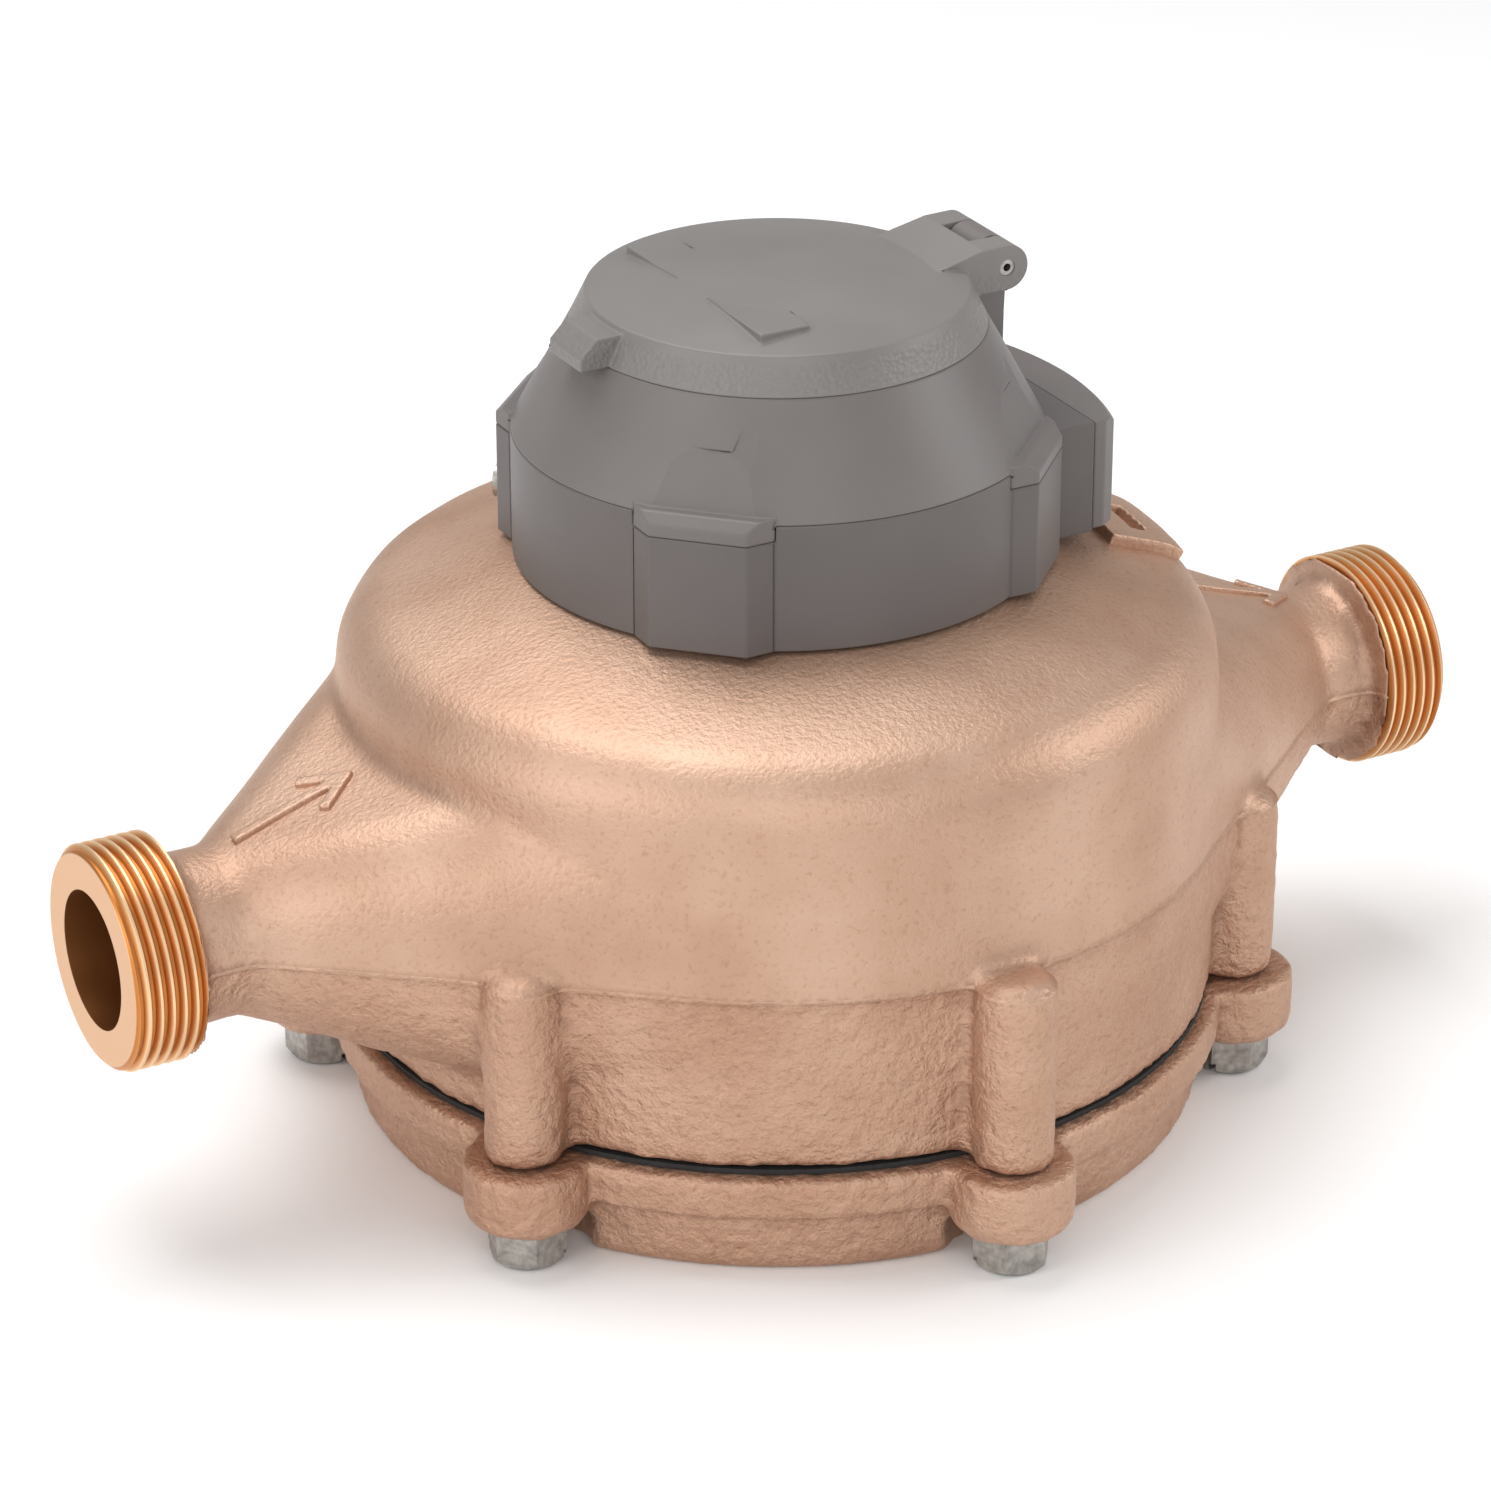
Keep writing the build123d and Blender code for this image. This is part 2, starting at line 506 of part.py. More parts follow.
def lid():
    """Hinged lid: shallow slanted cap with a thumb tab, a label pad and two hinge ears."""
    rise = LID_CROWN_Z - LID_RIM_Z
    crown_r = (LID_TOP_R ** 2 + rise ** 2) / (2 * rise)
    half_r = LID_TOP_R / 2
    half_z = LID_CROWN_Z - crown_r + math.sqrt(crown_r ** 2 - half_r ** 2)
    rim = Polyline((0, LID_CROWN_Z), (0, LID_SEAM_Z), (LID_SEAM_R, LID_SEAM_Z), (LID_TOP_R, LID_RIM_Z))
    top = ThreePointArc((LID_TOP_R, LID_RIM_Z), (half_r, half_z), (0, LID_CROWN_Z))
    cap = revolve(Plane.XZ * make_face([rim, top]), Axis.Z)
    tab = block(-42.5, -30.0, -6.0, 6.0, LID_SEAM_Z, LID_RIM_Z - 0.9)
    tab = chamfer(tab.edges().filter_by(Axis.Y).sort_by(lambda e: e.center().X - e.center().Z)[0], 3.2)
    cap += tab
    arm = block(24.0, HINGE_X, -HINGE_HALF_WIDTH, HINGE_HALF_WIDTH, LID_SEAM_Z + 1.4, HINGE_Z + KNUCKLE_R)
    arm -= Pos(24, 0, LID_RIM_Z + 0.4) * Rot(0, -14, 0) * Pos(0, 0, 10) * Box(60, 40, 20)
    cap += arm
    for side in (-1, 1):
        y0, y1 = sorted((side * (KNUCKLE_HALF_WIDTH + 0.3), side * HINGE_HALF_WIDTH))
        cap += rod_y(KNUCKLE_R, y0, y1, HINGE_X, HINGE_Z)
    cap -= rod_y(KNUCKLE_R + 0.5, -KNUCKLE_HALF_WIDTH - 0.3, KNUCKLE_HALF_WIDTH + 0.3, HINGE_X, HINGE_Z)
    cap -= block(HINGE_X - KNUCKLE_R - 0.5, 60, -KNUCKLE_HALF_WIDTH - 0.3, KNUCKLE_HALF_WIDTH + 0.3, 140, 170)
    cap -= rod_y(HINGE_PIN_R + 0.05, -20, 20, HINGE_X, HINGE_Z)
    cap -= turned((0, LID_SEAM_Z - 2), (LID_SEAM_R - 2.4, LID_SEAM_Z - 2), (LID_SEAM_R - 2.4, LID_SEAM_Z),
                  (LID_TOP_R - 2.0, LID_RIM_Z - 2.2), (0, LID_CROWN_Z - 2.4))
    label = block(-17.3, -7.5, -25.0, 25.0, LID_RIM_Z - 0.5, LID_CROWN_Z - 0.9)
    return cap + label


def hinge_pin():
    """Rolled spring pin through the lid's ears and the dome's knuckle."""
    tube = rod_y(HINGE_PIN_R, -HINGE_HALF_WIDTH + 0.2, HINGE_HALF_WIDTH - 0.2, HINGE_X, HINGE_Z)
    return tube - rod_y(0.75, -20, 20, HINGE_X, HINGE_Z)


# ---------------------------------------------------------------- sealed register
def gear(teeth, module, low, high, bore=0.0, phase=0.0):
    """Spur gear with involute flanks, slightly thinned for backlash; a tooth is centred on phase."""
    pressure = math.radians(20)
    pitch_r = teeth * module / 2
    base_r, tip_r, root_r = pitch_r * math.cos(pressure), pitch_r + 0.9 * module, pitch_r - 1.2 * module
    involute = math.tan(pressure) - pressure
    half_pitch = math.pi / 2 / teeth * 0.84

    def half_width(radius):
        """Half the tooth's angle at a radius."""
        if radius <= base_r:
            return half_pitch + involute
        at = math.acos(base_r / radius)
        return half_pitch + involute - (math.tan(at) - at)

    start = max(root_r, base_r)
    flank = [(root_r, half_width(start))] + [
        (r, half_width(r)) for r in (start + (tip_r - start) * k / 4 for k in range(5))
    ]
    points = []
    for i in range(teeth):
        centre = math.radians(phase) + 2 * math.pi * i / teeth
        for r, w in flank:
            points.append((r * math.cos(centre - w), r * math.sin(centre - w)))
        for r, w in reversed(flank):
            points.append((r * math.cos(centre + w), r * math.sin(centre + w)))
    distinct = [p for i, p in enumerate(points) if math.dist(p, points[i - 1]) > 1e-4]
    body = Pos(0, 0, low) * extrude(make_face(Polyline(*distinct, close=True)), high - low)
    return body - rod(bore, low - 1, high + 1) if bore else body


# Arbors, in order from the driven magnet to the sweep hand, with the teeth of each stage.
STAGES = ((12, 48), (12, 48), (12, 60), (12, 36))
ARBOR_R = 0.7
ARBORS = [(0.0, 0.0), polar(16.5, 180.0), polar(16.5, 120.0)]
ARBORS += [polar(13.2, 120.0 - math.degrees(math.acos((13.2 ** 2 + 16.5 ** 2 - 19.8 ** 2) / (2 * 13.2 * 16.5))))]
ARBORS += [(0.0, 0.0)]
LEVELS = (121.5, 124.0, 126.5, 129.0)
GEAR_HEIGHT = 1.4
COUNTER_LEVEL = 131.3
COUNTER_TEETH = (12, 60)
COUNTER_ARBOR_Y = -math.sqrt((sum(COUNTER_TEETH) * COUNTER_MODULE / 2) ** 2 - COUNTER_X ** 2)


def mesh_phase(teeth, other_teeth, other_phase, toward):
    """Phase that puts a gap of this gear where the other gear's tooth points. toward is the angle from
    the other gear's centre to this one's."""
    tooth_at = (toward - other_phase) % (360 / other_teeth) * other_teeth / teeth
    return toward + 180 + tooth_at + 180 / teeth


def direction(a, b):
    """Angle from one arbor to another, in degrees."""
    return math.degrees(math.atan2(b[1] - a[1], b[0] - a[0]))


def driven_magnet():
    """Ring magnet at the bottom of the can."""
    return ring(11.0, ARBOR_R + 1.0, 111.0, 118.0)


def magnet_arbor():
    """Arbor of the driven magnet, with its pinion."""
    staff = rod(ARBOR_R + 1.0, 110.4, 118.6) + rod(ARBOR_R, 109.8, LEVELS[0] + GEAR_HEIGHT + 0.6)
    return staff + gear(STAGES[0][0], GEAR_MODULE, LEVELS[0], LEVELS[0] + GEAR_HEIGHT)


def train_gear(stage):
    """Gear of one stage on its arbor, with the pinion that drives the next stage above it."""
    wheel_teeth = STAGES[stage - 1][1]
    here, before = ARBORS[stage], ARBORS[stage - 1]
    low = LEVELS[stage - 1]
    phase = mesh_phase(wheel_teeth, STAGES[stage - 1][0], 0.0, direction(before, here))
    wheel = gear(wheel_teeth, GEAR_MODULE, low, low + GEAR_HEIGHT, phase=phase)
    pinion = gear(STAGES[stage][0], GEAR_MODULE, low + GEAR_HEIGHT - 0.01, LEVELS[stage] + GEAR_HEIGHT)
    top = DIAL_Z + 2.4 if stage == 1 else LEVELS[stage] + GEAR_HEIGHT + 0.6
    staff = rod(ARBOR_R, 119.4, top)
    return Pos(here[0], here[1], 0) * (wheel + pinion + staff)


def leak_indicator():
    """Small six-pointed rotor on the first gear's arbor, above the dial."""
    tips = [polar(3.4 if i % 2 == 0 else 1.7, 30.0 * i) for i in range(12)]
    star = Pos(0, 0, DIAL_Z + 1.4) * extrude(make_face(Polyline(*tips, close=True)), 0.7)
    return Pos(*ARBORS[1], 0) * (star - rod(ARBOR_R, 130, 150))


def sweep_arbor():
    """Last gear of the train, the pinion for the counter and the staff of the sweep hand."""
    phase = mesh_phase(STAGES[3][1], STAGES[3][0], 0.0, direction(ARBORS[3], ARBORS[4]))
    wheel = gear(STAGES[3][1], GEAR_MODULE, LEVELS[3], LEVELS[3] + GEAR_HEIGHT, phase=phase)
    pinion = gear(COUNTER_TEETH[0], COUNTER_MODULE, LEVELS[3] + GEAR_HEIGHT - 0.01, COUNTER_LEVEL + 1.1)
    return wheel + pinion + rod(ARBOR_R, LEVELS[3] - 0.4, DIAL_Z + 3.2)


def sweep_hand():
    """Thin pointer over the dial."""
    hand = Polyline((-7, -1.0), (0, -1.4), (27.5, -0.25), (27.5, 0.25), (0, 1.4), (-7, 1.0), close=True)
    body = Pos(0, 0, DIAL_Z + 2.3) * extrude(make_face(hand), 0.5)
    body += rod(2.2, DIAL_Z + 2.0, DIAL_Z + 3.4)
    return Rot(0, 0, 205) * body - rod(ARBOR_R, 130, 150)


def counter_drive():
    """Gear and pin crown that turn the number wheels' shaft gear."""
    x, y = COUNTER_X, COUNTER_ARBOR_Y
    toward = math.degrees(math.atan2(y, x))
    phase = mesh_phase(COUNTER_TEETH[1], COUNTER_TEETH[0], 0.0, toward)
    wheel = gear(COUNTER_TEETH[1], COUNTER_MODULE, COUNTER_LEVEL - 0.9, COUNTER_LEVEL + 0.1, phase=phase)
    crown = [Pos(*polar(PIN_CROWN_R, -90.0 + 36.0 * i + 18.0), 0) * rod(0.22, COUNTER_LEVEL, COUNTER_LEVEL + 0.85)
             for i in range(10)]
    body = wheel + crown + rod(ARBOR_R, 126.0 - 6.2, COUNTER_LEVEL + 0.1)
    return Pos(x, y, 0) * body


def shaft_gear():
    """Narrow spur gear on the counter's shaft, turned by the pin crown."""
    teeth, pitch_r = 20, 4.5
    tip_r = COUNTER_Z - COUNTER_LEVEL - 0.25
    body = Cylinder(pitch_r - 0.7, 0.8)
    for i in range(teeth):
        body += Rot(0, 0, 360 / teeth * i) * block(pitch_r - 1.2, tip_r, -0.2, 0.2, -0.4, 0.4)
    body -= Cylinder(1.05, 5)
    return Pos(COUNTER_X, COUNTER_ARBOR_Y - PIN_CROWN_R, COUNTER_Z) * Rot(90, 0, 0) * body


def number_wheel(index):
    """One number wheel of the counter; wheel 1 is the fastest."""
    y = COUNTER_ARBOR_Y + 3.6 + WHEEL_PITCH * (index - 0.5)
    wheel = rod_y(WHEEL_R, y - WHEEL_WIDTH / 2, y + WHEEL_WIDTH / 2, COUNTER_X, COUNTER_Z)
    return wheel - rod_y(1.05, y - 5, y + 5, COUNTER_X, COUNTER_Z)


def counter_shaft():
    """Fixed shaft that the number wheels turn on."""
    return rod_y(1.0, -17.5, 18.5, COUNTER_X, COUNTER_Z)


def counter_frame():
    """Two brackets that carry the counter's shaft below the dial plate."""
    brackets = []
    for y in (-17.0, 17.6):
        bracket = block(COUNTER_X - 3, COUNTER_X + 3, y - 0.6, y + 0.6, COUNTER_Z - 2.5, DIAL_Z)
        brackets.append(bracket - rod_y(1.02, y - 3, y + 3, COUNTER_X, COUNTER_Z))
    return group(brackets)


def movement_plate():
    """Brass plate that carries the train's lower pivots."""
    plate = rod(31.5, 118.9, 120.3)
    for x, y in ARBORS[1:4] + [(COUNTER_X, COUNTER_ARBOR_Y)]:
        plate -= rod(ARBOR_R + 0.08, 118, 121, x, y)
    return plate - rod(ARBOR_R + 1.1, 118, 121)


PILLARS = [polar(29.6, angle) for angle in (-100.0, -25.0, 75.0, 160.0)]


def movement_pillars():
    """Four posts that hold the dial plate above the movement plate."""
    return group([rod(1.3, 120.3, DIAL_Z, x, y) for x, y in PILLARS])


def dial_plate():
    """Printed dial, with a window over the number wheels."""
    plate = rod(31.8, DIAL_Z, DIAL_Z + 0.8)
    first = COUNTER_ARBOR_Y + 3.6
    plate -= block(COUNTER_X - 3.2, COUNTER_X + 3.2, first - 0.3, first + WHEEL_PITCH * WHEEL_COUNT + 0.1,
                   DIAL_Z - 1, DIAL_Z + 2)
    for x, y in (ARBORS[1], ARBORS[4]):
        plate -= rod(ARBOR_R + 0.1, DIAL_Z - 1, DIAL_Z + 2, x, y)
    return plate


def register_can():
    """Drawn copper-alloy can that seals the movement."""
    can = rod(CAN_R, CAN_BOTTOM_Z, CAN_TOP_Z) - rod(CAN_R - CAN_WALL, CAN_BOTTOM_Z + CAN_WALL, CAN_TOP_Z + 1)
    can += ring(CAN_R - CAN_WALL + 0.1, 31.6, 118.1, 118.9)
    return can


def lens_seal():
    """Rubber ring between the lens and the can."""
    return ring(CAN_R - 1.0, 31.0, CAN_TOP_Z - 2.6, CAN_TOP_Z - 1.6)


def lens():
    """Flat glass over the dial."""
    return rod(CAN_R - 1.0, CAN_TOP_Z - 1.6, CAN_TOP_Z)


# ---------------------------------------------------------------- write the parts
def parts():
    """Every node's name and shape."""
    made = {
        "main_housing": main_housing(),
        "bottom_cover": bottom_cover(),
        "cover_bolts": cover_bolts(),
        "cover_gasket": cover_gasket(),
        "chamber_top": chamber_half(True),
        "chamber_bottom": chamber_half(False),
        "chamber_spacer": chamber_spacer(),
        "partition_plate": partition_plate(),
        "nutating_disc": nutating_disc(),
        "disc_spindle": disc_spindle(),
        "strainer": strainer(),
        "outlet_duct": outlet_duct(),
        "outlet_seal": outlet_seal(),
        "follower": follower(),
        "drive_magnet": drive_magnet(),
        "bearing_pin": bearing_pin(),
        "register_base": register_base(),
        "register_dome": register_dome(),
        "box_cover": box_cover(),
        "box_cover_screws": box_cover_screws(),
        "terminal_board": terminal_board(),
        "terminal_screws": terminal_screws(),
        "seal_screw": seal_screw(),
        "lid": lid(),
        "hinge_pin": hinge_pin(),
        "register_can": register_can(),
        "lens": lens(),
        "lens_seal": lens_seal(),
        "movement_plate": movement_plate(),
        "movement_pillars": movement_pillars(),
        "driven_magnet": driven_magnet(),
        "magnet_arbor": magnet_arbor(),
        "first_gear": train_gear(1),
        "second_gear": train_gear(2),
        "third_gear": train_gear(3),
        "leak_indicator": leak_indicator(),
        "sweep_arbor": sweep_arbor(),
        "sweep_hand": sweep_hand(),
        "counter_drive": counter_drive(),
        "shaft_gear": shaft_gear(),
        "counter_shaft": counter_shaft(),
        "counter_frame": counter_frame(),
        "dial_plate": dial_plate(),
    }
    for index in range(1, WHEEL_COUNT + 1):
        made[f"number_wheel_{index}"] = number_wheel(index)
    return made


if __name__ == "__main__":
    os.makedirs("parts", exist_ok=True)
    for name, shape in parts().items():
        export_step(shape, f"parts/{name}.step")
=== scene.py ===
import json
import math

import bpy
from mathutils import Matrix, Vector, noise


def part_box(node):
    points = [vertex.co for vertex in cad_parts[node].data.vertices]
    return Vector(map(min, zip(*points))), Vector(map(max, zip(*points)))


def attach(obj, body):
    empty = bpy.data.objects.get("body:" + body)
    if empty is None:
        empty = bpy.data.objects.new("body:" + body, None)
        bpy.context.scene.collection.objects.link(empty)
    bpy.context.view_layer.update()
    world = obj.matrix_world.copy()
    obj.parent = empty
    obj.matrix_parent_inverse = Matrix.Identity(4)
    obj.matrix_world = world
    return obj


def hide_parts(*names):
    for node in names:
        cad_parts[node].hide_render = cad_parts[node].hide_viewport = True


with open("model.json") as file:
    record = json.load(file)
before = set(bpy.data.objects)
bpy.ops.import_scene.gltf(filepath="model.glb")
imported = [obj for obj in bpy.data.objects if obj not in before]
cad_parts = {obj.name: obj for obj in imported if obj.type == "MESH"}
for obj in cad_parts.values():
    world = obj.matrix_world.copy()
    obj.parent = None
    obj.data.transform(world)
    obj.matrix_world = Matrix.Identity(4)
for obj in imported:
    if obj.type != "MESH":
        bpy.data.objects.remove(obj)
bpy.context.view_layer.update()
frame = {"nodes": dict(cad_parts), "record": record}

# ---------------------------------------------------------------- bronze housing
# One sand casting in bronze: a drum with an inlet and an outlet that flare into it and six bosses for
# the cover screws. The sand leaves fine grain above the parting line and coarser pits below it, and
# where two surfaces meet the mould rounds the corner.
mm = 0.001
mount_at = {mount["name"]: mount["pos_m"] for mount in frame["record"]["mounts"]}
pipe_height = mount_at["inlet_thread"][2]
face_x = mount_at["outlet_face"][0]
thread_length = 13.0 * mm
thread_back_x = face_x - thread_length
thread_major_r = 20.6 * mm
bore_r = 12.7 * mm
housing_cell = 1.4 * mm
smoothing_passes = 6


def deselect_all():
    """Leaves object mode with nothing selected."""
    if bpy.context.mode != "OBJECT":
        bpy.ops.object.mode_set(mode="OBJECT")
    bpy.ops.object.select_all(action="DESELECT")


def pick(piece):
    """Makes one object the only selected and active one."""
    deselect_all()
    piece.select_set(True)
    bpy.context.view_layer.objects.active = piece


def copy_of(node, name):
    """Copy of a CAD node's mesh as a new piece, with its loose triangles merged."""
    source = frame["nodes"][node]
    piece = bpy.data.objects.new(name, source.data.copy())
    piece.data.materials.clear()
    bpy.context.collection.objects.link(piece)
    pick(piece)
    bpy.ops.object.mode_set(mode="EDIT")
    bpy.ops.mesh.select_all(action="SELECT")
    bpy.ops.mesh.remove_doubles(threshold=0.002 * mm)
    bpy.ops.object.mode_set(mode="OBJECT")
    return piece


def apply_modifier(piece, kind, **settings):
    """Adds one modifier with its settings and applies it."""
    pick(piece)
    modifier = piece.modifiers.new(kind, kind)
    for key, value in settings.items():
        setattr(modifier, key, value)
    bpy.ops.object.modifier_apply(modifier=modifier.name)


def soften(piece, cell, passes):
    """Rebuilds a piece in small cells and relaxes them, which rounds every edge as a mould does."""
    apply_modifier(piece, "REMESH", mode="VOXEL", voxel_size=cell, use_smooth_shade=True)
    apply_modifier(piece, "SMOOTH", factor=0.5, iterations=passes)
    pick(piece)
    bpy.ops.object.shade_smooth()


def cut_flat(piece, point, normal):
    """Cuts a piece at a plane, removes what lies beyond it and closes the cut."""
    pick(piece)
    bpy.ops.object.mode_set(mode="EDIT")
    bpy.ops.mesh.select_all(action="SELECT")
    bpy.ops.mesh.bisect(plane_co=point, plane_no=normal, use_fill=True, clear_outer=True)
    bpy.ops.object.mode_set(mode="OBJECT")


def score(piece, height):
    """Adds a ring of edges round a piece at one height."""
    pick(piece)
    bpy.ops.object.mode_set(mode="EDIT")
    bpy.ops.mesh.select_all(action="SELECT")
    bpy.ops.mesh.bisect(plane_co=(0, 0, height), plane_no=(0, 0, 1))
    bpy.ops.object.mode_set(mode="OBJECT")


housing = copy_of("main_housing", "cast_housing")
for side in (-1, 1):
    cut_flat(housing, (side * thread_back_x, 0, pipe_height), (side, 0, 0))
soften(housing, housing_cell, smoothing_passes)

# the flash line that the two halves of the mould leave, and the pits of the coarser sand below it
flash_half_width = 0.45 * mm
flash_height = 0.42 * mm
pit_depth = 0.3 * mm
pit_size = 2.6 * mm
pit_fade = 2.0 * mm
housing_pit_level = 0.3
swell_depth = 0.22 * mm
swell_size = 17.0 * mm
bore_keep_r = bore_r + 1.2 * mm
for rise in (-flash_half_width, 0.0, flash_half_width):
    score(housing, pipe_height + rise)


def push_out(piece, height_at):
    """Moves each point of a piece along its normal, by a height worked out from its place."""
    pushes = [vertex.normal * height_at(vertex.co) for vertex in piece.data.vertices]
    for vertex, push in zip(piece.data.vertices, pushes):
        vertex.co += push


def housing_relief(place):
    """The casting's slow swells, its flash line, and the pits below that line."""
    if math.hypot(place.y, place.z - pipe_height) < bore_keep_r:
        return 0.0
    swell = swell_depth * noise.noise(place / swell_size)
    below = min(max((pipe_height - place.z) / pit_fade, 0.0), 1.0)
    pits = below * pit_depth * (noise.noise(place / pit_size) - housing_pit_level)
    flash = flash_height if abs(place.z - pipe_height) < flash_half_width / 2 else 0.0
    return swell + pits + flash


push_out(housing, housing_relief)


def colour(code):
    """sRGB hex value as a linear colour."""
    channels = [int(code[i:i + 2], 16) / 255 for i in (1, 3, 5)]
    return [c / 12.92 if c <= 0.04045 else ((c + 0.055) / 1.055) ** 2.4 for c in channels] + [1.0]


def add_node(tree, kind, inputs=None, stops=(), **settings):
    """Adds a node with its settings, a value or a link for each input, and any (position, hex) stops."""
    node = tree.nodes.new(kind)
    for key, value in settings.items():
        setattr(node, key, value)
    for key, value in (inputs or {}).items():
        if isinstance(value, bpy.types.NodeSocket):
            tree.links.new(value, node.inputs[key])
        else:
            node.inputs[key].default_value = value
    for i, (position, code) in enumerate(stops):
        elements = node.color_ramp.elements
        stop = elements[i] if i < len(elements) else elements.new(position)
        stop.position, stop.color = position, colour(code)
    return node


def new_material(name):
    """Material with its node tree, its main shader and its place on the piece."""
    material = bpy.data.materials.new(name)
    material.use_nodes = True
    tree = material.node_tree
    where = add_node(tree, "ShaderNodeTexCoord").outputs["Object"]
    return material, tree, tree.nodes["Principled BSDF"], where


# A Mix node's colour sockets share their names with its number sockets, so they go by their index.
first_colour, second_colour, mixed_colour = 6, 7, 2


# Sand-cast bronze, shot blasted: a pale pinkish tan skin, satin rather than polished, with shade painted
# darker into its corners. Below the parting line the sand was coarser, so the skin is rougher and a little
# browner.
def cast_bronze(name, coarse_below):
    """Bronze skin; the coarse sand's marks start below the given height."""
    material, tree, shader, where = new_material(name)
    grain = add_node(tree, "ShaderNodeTexNoise",
                     {"Vector": where, "Scale": 1 / (1.05 * mm), "Detail": 2.0, "Roughness": 0.62})
    sand = add_node(tree, "ShaderNodeTexNoise",
                    {"Vector": where, "Scale": 1 / (2.3 * mm), "Detail": 4.0, "Roughness": 0.6})
    cloud = add_node(tree, "ShaderNodeTexNoise", {"Vector": where, "Scale": 1 / (26 * mm), "Detail": 3.0})
    height = add_node(tree, "ShaderNodeSeparateXYZ", {"Vector": where}).outputs["Z"]
    coarse = add_node(tree, "ShaderNodeMapRange",
                      {"Value": height, "From Min": coarse_below + 0.8 * mm,
                       "From Max": coarse_below - 0.8 * mm}).outputs["Result"]
    tint = add_node(tree, "ShaderNodeValToRGB", {"Fac": cloud.outputs["Fac"]},
                    stops=((0.34, "#BE9A83"), (0.66, "#CDAC96")))
    speck = add_node(tree, "ShaderNodeValToRGB", {"Fac": grain.outputs["Fac"]},
                     stops=((0.25, "#E0CFC2"), (0.45, "#FFFFFF")))
    skin = add_node(tree, "ShaderNodeMix",
                    {"Factor": 0.5, first_colour: tint.outputs["Color"], second_colour: speck.outputs["Color"]},
                    data_type="RGBA", blend_type="MULTIPLY")
    browner = add_node(tree, "ShaderNodeMix",
                       {"Factor": coarse, first_colour: skin.outputs[mixed_colour],
                        second_colour: colour("#FAF6F3")},
                       data_type="RGBA", blend_type="MULTIPLY")
    # painted shade: the skin is darkened where the surface curves inwards, in corners and creases
    corners = add_node(tree, "ShaderNodeNewGeometry").outputs["Pointiness"]
    edge = add_node(tree, "ShaderNodeValToRGB", {"Fac": corners}, stops=((0.42, "#8A6247"), (0.495, "#FFFFFF")))
    skin_with_painted_shade = add_node(tree, "ShaderNodeMix",
                    {"Factor": 0.8, first_colour: browner.outputs[mixed_colour],
                     second_colour: edge.outputs["Color"]},
                    data_type="RGBA", blend_type="MULTIPLY")
    tree.links.new(skin_with_painted_shade.outputs[mixed_colour], shader.inputs["Base Color"])
    fine = add_node(tree, "ShaderNodeBump",
                    {"Height": grain.outputs["Fac"], "Strength": 0.8, "Distance": 0.26 * mm})
    rough = add_node(tree, "ShaderNodeBump",
                     {"Height": sand.outputs["Fac"], "Strength": coarse, "Distance": 0.9 * mm,
                      "Normal": fine.outputs["Normal"]})
    tree.links.new(rough.outputs["Normal"], shader.inputs["Normal"])
    shader.inputs["Metallic"].default_value = 0.85
    shader.inputs["Roughness"].default_value = 0.52
    return material


housing.data.materials.append(cast_bronze("sand_cast_bronze", pipe_height))
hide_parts("main_housing")
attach(housing, "housing")

# ---------------------------------------------------------------- threaded ends
# Each end of the casting is turned on a lathe: a flat face for the washer, a chamfer, and a straight pipe
# thread of 11.5 turns per inch. Fresh bronze shows there, more golden and brighter than the cast skin.
pitch = 25.4 * mm / 11.5
thread_root_r = thread_major_r - 1.15 * mm
crest_half = 0.10
root_half = 0.12
end_chamfer = 1.5 * mm
screwed_turns = 9
turns_cut_away = 1.5
round_steps = 128
spud_middle = (-(face_x + thread_back_x) / 2, 0, pipe_height)
smooth_below = math.radians(28)


def line_through(name, points):
    """Open line of edges through points, drawn by extruding one corner of a plane."""
    bpy.ops.mesh.primitive_plane_add(size=mm, location=(0, 0, 0))
    piece = bpy.context.object
    piece.name = name
    bpy.ops.object.mode_set(mode="EDIT")
    bpy.ops.mesh.select_all(action="SELECT")
    bpy.ops.mesh.merge(type="CENTER")
    bpy.ops.transform.translate(value=points[0])
    for before, after in zip(points, points[1:]):
        step = Vector(after) - Vector(before)
        bpy.ops.mesh.extrude_region_move(TRANSFORM_OT_translate={"value": step})
    bpy.ops.object.mode_set(mode="OBJECT")
    return piece


def cut_with(piece, tool, operation):
    """Boolean of two pieces; the tool is removed."""
    apply_modifier(piece, "BOOLEAN", operation=operation, object=tool, solver="EXACT")
    bpy.data.objects.remove(tool)


def put_in_place(piece, place):
    """Turns and shifts a piece, and applies that to its mesh."""
    pick(piece)
    piece.matrix_basis = place
    bpy.ops.object.transform_apply()


def round_bar(radius, length):
    """Plain bar along the inlet's axis, at its spud."""
    bpy.ops.mesh.primitive_cylinder_add(vertices=round_steps, radius=radius, depth=length,
                                        rotation=(0, math.pi / 2, 0), location=spud_middle)
    bar = bpy.context.object
    bpy.ops.object.transform_apply()
    return bar


deselect_all()
one_turn = [(thread_root_r, 0, 0), (thread_root_r, 0, 2 * root_half * pitch),
            (thread_major_r, 0, (0.5 + root_half - crest_half) * pitch),
            (thread_major_r, 0, (0.5 + root_half + crest_half) * pitch), (thread_root_r, 0, pitch)]
inlet = line_through("inlet_spud", one_turn)
apply_modifier(inlet, "SCREW", axis="Z", screw_offset=pitch, iterations=screwed_turns, steps=96,
               render_steps=96, use_merge_vertices=True, merge_threshold=0.001 * mm)
first_cut = turns_cut_away * pitch
pick(inlet)
bpy.ops.object.mode_set(mode="EDIT")
bpy.ops.mesh.select_all(action="SELECT")
bpy.ops.mesh.remove_doubles(threshold=0.003 * mm)
bpy.ops.mesh.bisect(plane_co=(0, 0, first_cut), plane_no=(0, 0, -1), use_fill=True, clear_outer=True)
bpy.ops.mesh.select_all(action="SELECT")
